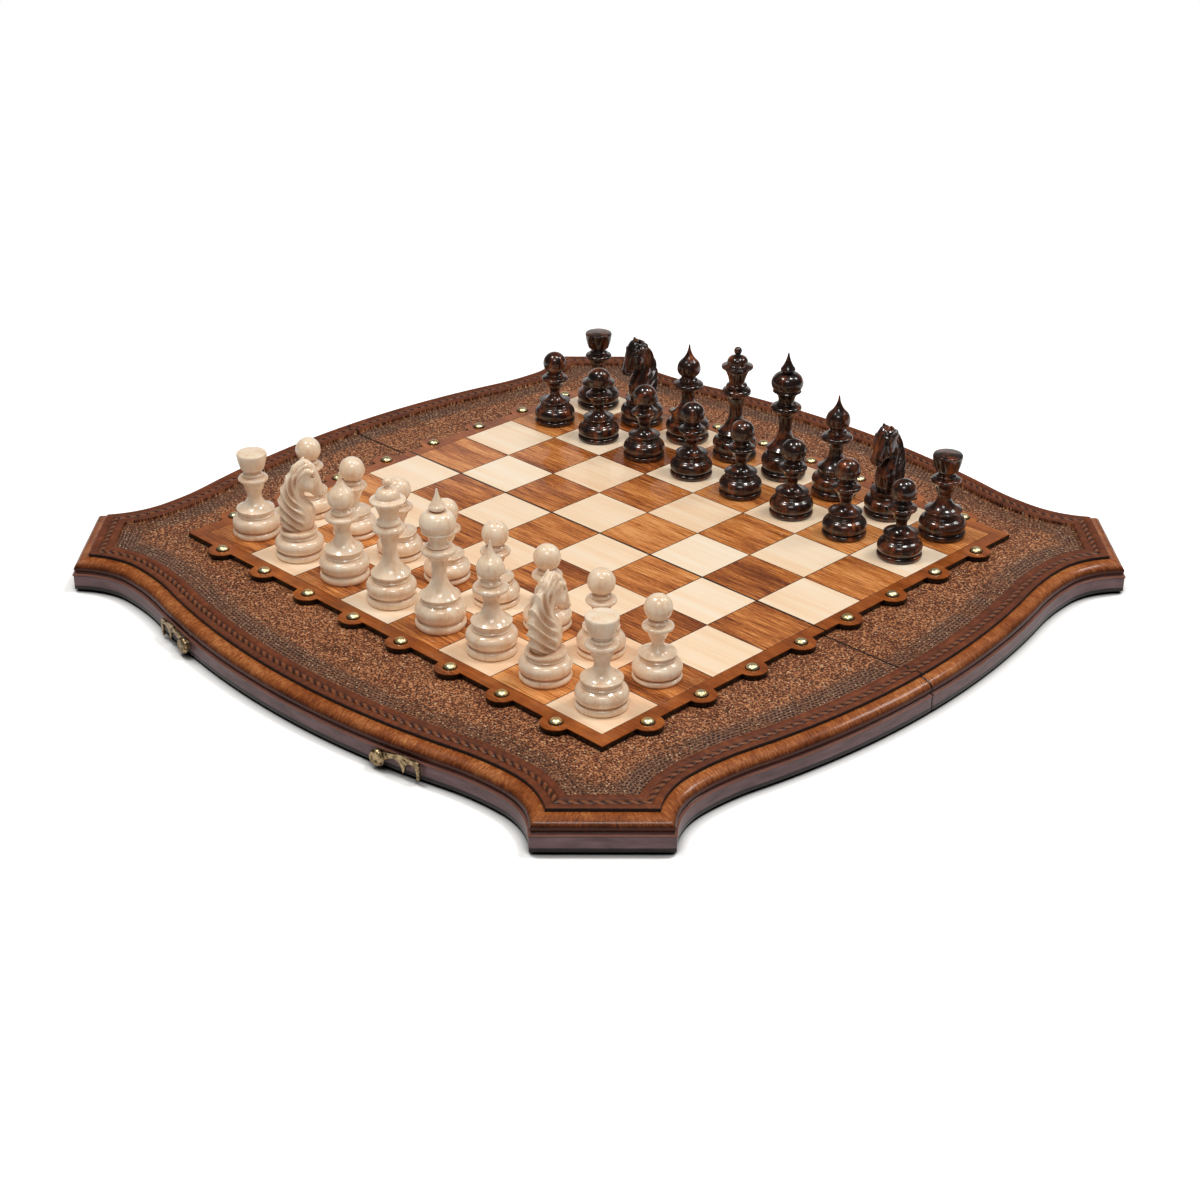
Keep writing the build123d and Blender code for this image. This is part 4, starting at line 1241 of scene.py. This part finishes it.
def stood(grid, x, y, heading):
    """A shape in a man's own axes, turned to his heading and stood on his square."""
    c, s = cos(radians(heading)), sin(radians(heading))
    f, w = grid[..., 0], grid[..., 1]
    return np.stack([x + f * c - w * s, y + f * s + w * c, plate_top + grid[..., 2]], -1)


# Where the knights look, in degrees from +X
knight_headings = {
    "white_knight_b": 57.0,
    "white_knight_g": 90.0,
    "black_knight_b": 263.0,
    "black_knight_g": 270.0,
}
back_rank = "rook_a knight_b bishop_c queen king bishop_f knight_g rook_h".split()
for colour, side, finish, slot in (
    ("white", -1, pale_finish, "pale_man"),
    ("black", 1, dark_man_finish, "dark_man"),
):
    men = [(name, i, side * 3.5 * square) for i, name in enumerate(back_rank)]
    men += [("pawn_" + file, i, side * 2.5 * square) for i, file in enumerate("abcdefgh")]
    for name, i, y in men:
        x = (i - 3.5) * square
        node = colour + "_" + name
        kind = name.split("_")[0]
        man = Skin()
        turned(man, lines[kind], x, y, plate_top, 72)
        if kind == "knight":
            heading = knight_headings[node]
            man.tube(stood(knight_head(), x, y, heading))
            for hand in (-1, 1):
                man.tube(stood(knight_ear(hand), x, y, heading))
                man.sheet(stood(knight_eye(hand), x, y, heading), wrap=(False, True))
            for k in (-1, 0, 1):
                man.tube(stood(knight_forelock(k), x, y, heading))
        man.piece(node + "_figure", "man_" + node, finish, slot, [node], crease=60)


# Floor, light and camera

# The world is white behind the object, a soft light on it, and dim in its gloss
world = bpy.data.worlds.new("room light")
bpy.context.scene.world = world
room = Shading(world)
lit, shiny, seen = [
    room.node("ShaderNodeBackground", {}, {0: colour, 1: strength})
    for colour, strength in (((1.0, 0.985, 0.965), 0.26), ((1.0, 0.97, 0.94), 0.08), ((1, 1, 1), 1.0))
]
glossy_ray = room.node("ShaderNodeLightPath", output="Is Glossy Ray")
camera_ray = room.node("ShaderNodeLightPath", output="Is Camera Ray")
unseen = room.node("ShaderNodeMixShader", {}, {0: glossy_ray, 1: lit, 2: shiny})
world_look = room.node("ShaderNodeMixShader", {}, {0: camera_ray, 1: unseen, 2: seen})
room.node("ShaderNodeOutputWorld", {}, {0: world_look})


def area_light(name, place, aim, size, watts, colour):
    """A rectangular lamp at a place in metres, facing the point that it is aimed at."""
    light = bpy.data.lights.new(name, "AREA")
    light.shape = "RECTANGLE"
    light.size, light.size_y = size
    light.energy = watts
    light.color = colour
    lamp = bpy.data.objects.new(name, light)
    way = Vector(aim) - Vector(place)
    lamp.matrix_world = Matrix.Translation(place) @ way.to_track_quat("-Z", "Y").to_matrix().to_4x4()
    bpy.context.collection.objects.link(lamp)
    return lamp


area_light("left lamp", (-0.52, -0.5, 2.0), (0, 0, 0), (0.34, 0.34), 13.4, (1.0, 0.985, 0.96))
area_light("right lamp", (0.52, 0.5, 2.0), (0, 0, 0), (0.34, 0.34), 13.4, (1.0, 0.985, 0.96))
area_light("front lamp", (0.75, -0.75, 1.5), (0, 0, 0), (0.6, 0.36), 5.5, (1.0, 0.99, 0.97))
area_light("side lamp", (0.55, 1.05, 1.2), (0, 0, 0), (0.36, 0.36), 4.0, (1.0, 0.99, 0.97))
backdrop = area_light("back panel", (-1.4, 1.4, 0.47), (0, 0, 0.47), (2.6, 0.84), 3.4, (1.0, 0.99, 0.98))
backdrop.visible_camera = False

# The floor lies just under the object's lowest point. The camera sees a painted contact shadow on
# it, from ambient occlusion, where a gap closes on it, and sees it fade to white away from the
# object, and other rays see plain pale paper
floor_mesh = bpy.data.meshes.new("floor")
floor_z = -0.002
floor_mesh.from_pydata([(x, y, floor_z) for x, y in ((-6, -6), (6, -6), (6, 6), (-6, 6))], [], [(0, 1, 2, 3)])
floor = bpy.data.objects.new("floor", floor_mesh)
bpy.context.collection.objects.link(floor)
paper = bpy.data.materials.new("white paper")
ground = Shading(paper)
# Painted contact shadow: darker where ambient occlusion finds the object close
contact_shadow = ground.node("ShaderNodeAmbientOcclusion", {}, {"Distance": 0.014}, output="AO")
shade = ground.node("ShaderNodeValToRGB", {"stops": ((0.3, (0, 0, 0)), (0.72, (1.35, 1.35, 1.35)))}, {0: contact_shadow})
spot = ground.node("ShaderNodeTexCoord", output="Object")
away = ground.node("ShaderNodeVectorMath", {"operation": "LENGTH"}, {0: spot}, output="Value")
fade = ground.node("ShaderNodeMapRange", {}, {"Value": away, "From Min": 0.5, "From Max": 0.9})
shown = ground.node(
    "ShaderNodeMixShader",
    {},
    {
        0: fade,
        1: ground.node("ShaderNodeBsdfDiffuse", {}, {0: shade}),
        2: ground.node("ShaderNodeEmission", {}, {"Strength": 1.0}),
    },
)
plain = ground.node("ShaderNodeBsdfDiffuse", {}, {0: (0.8, 0.8, 0.8)})
camera_ray = ground.node("ShaderNodeLightPath", output="Is Camera Ray")
floor_look = ground.node("ShaderNodeMixShader", {}, {0: camera_ray, 1: plain, 2: shown})
ground.node("ShaderNodeOutputMaterial", {}, {0: floor_look})
floor_mesh.materials.append(paper)

# The photograph's view, from its lens, the camera's place in metres, and the ways that point right,
# down and into the picture
camera_data = bpy.data.cameras.new("camera")
camera_data.lens = 63.323
camera_data.sensor_width = 36.0
camera = bpy.data.objects.new("camera", camera_data)
bpy.context.collection.objects.link(camera)
right = Vector((0.71062871, 0.70355025, 0.00488704))
down = Vector((0.32573875, -0.32284335, -0.88863178))
forward = Vector((-0.62361936, 0.63307915, -0.45859533))
turned_to = Matrix((right, -down, -forward)).transposed().to_4x4()
camera.matrix_world = Matrix.Translation((0.96857, -0.98260, 0.68249)) @ turned_to
bpy.context.scene.camera = camera
bpy.context.scene.view_settings.view_transform = "Standard"
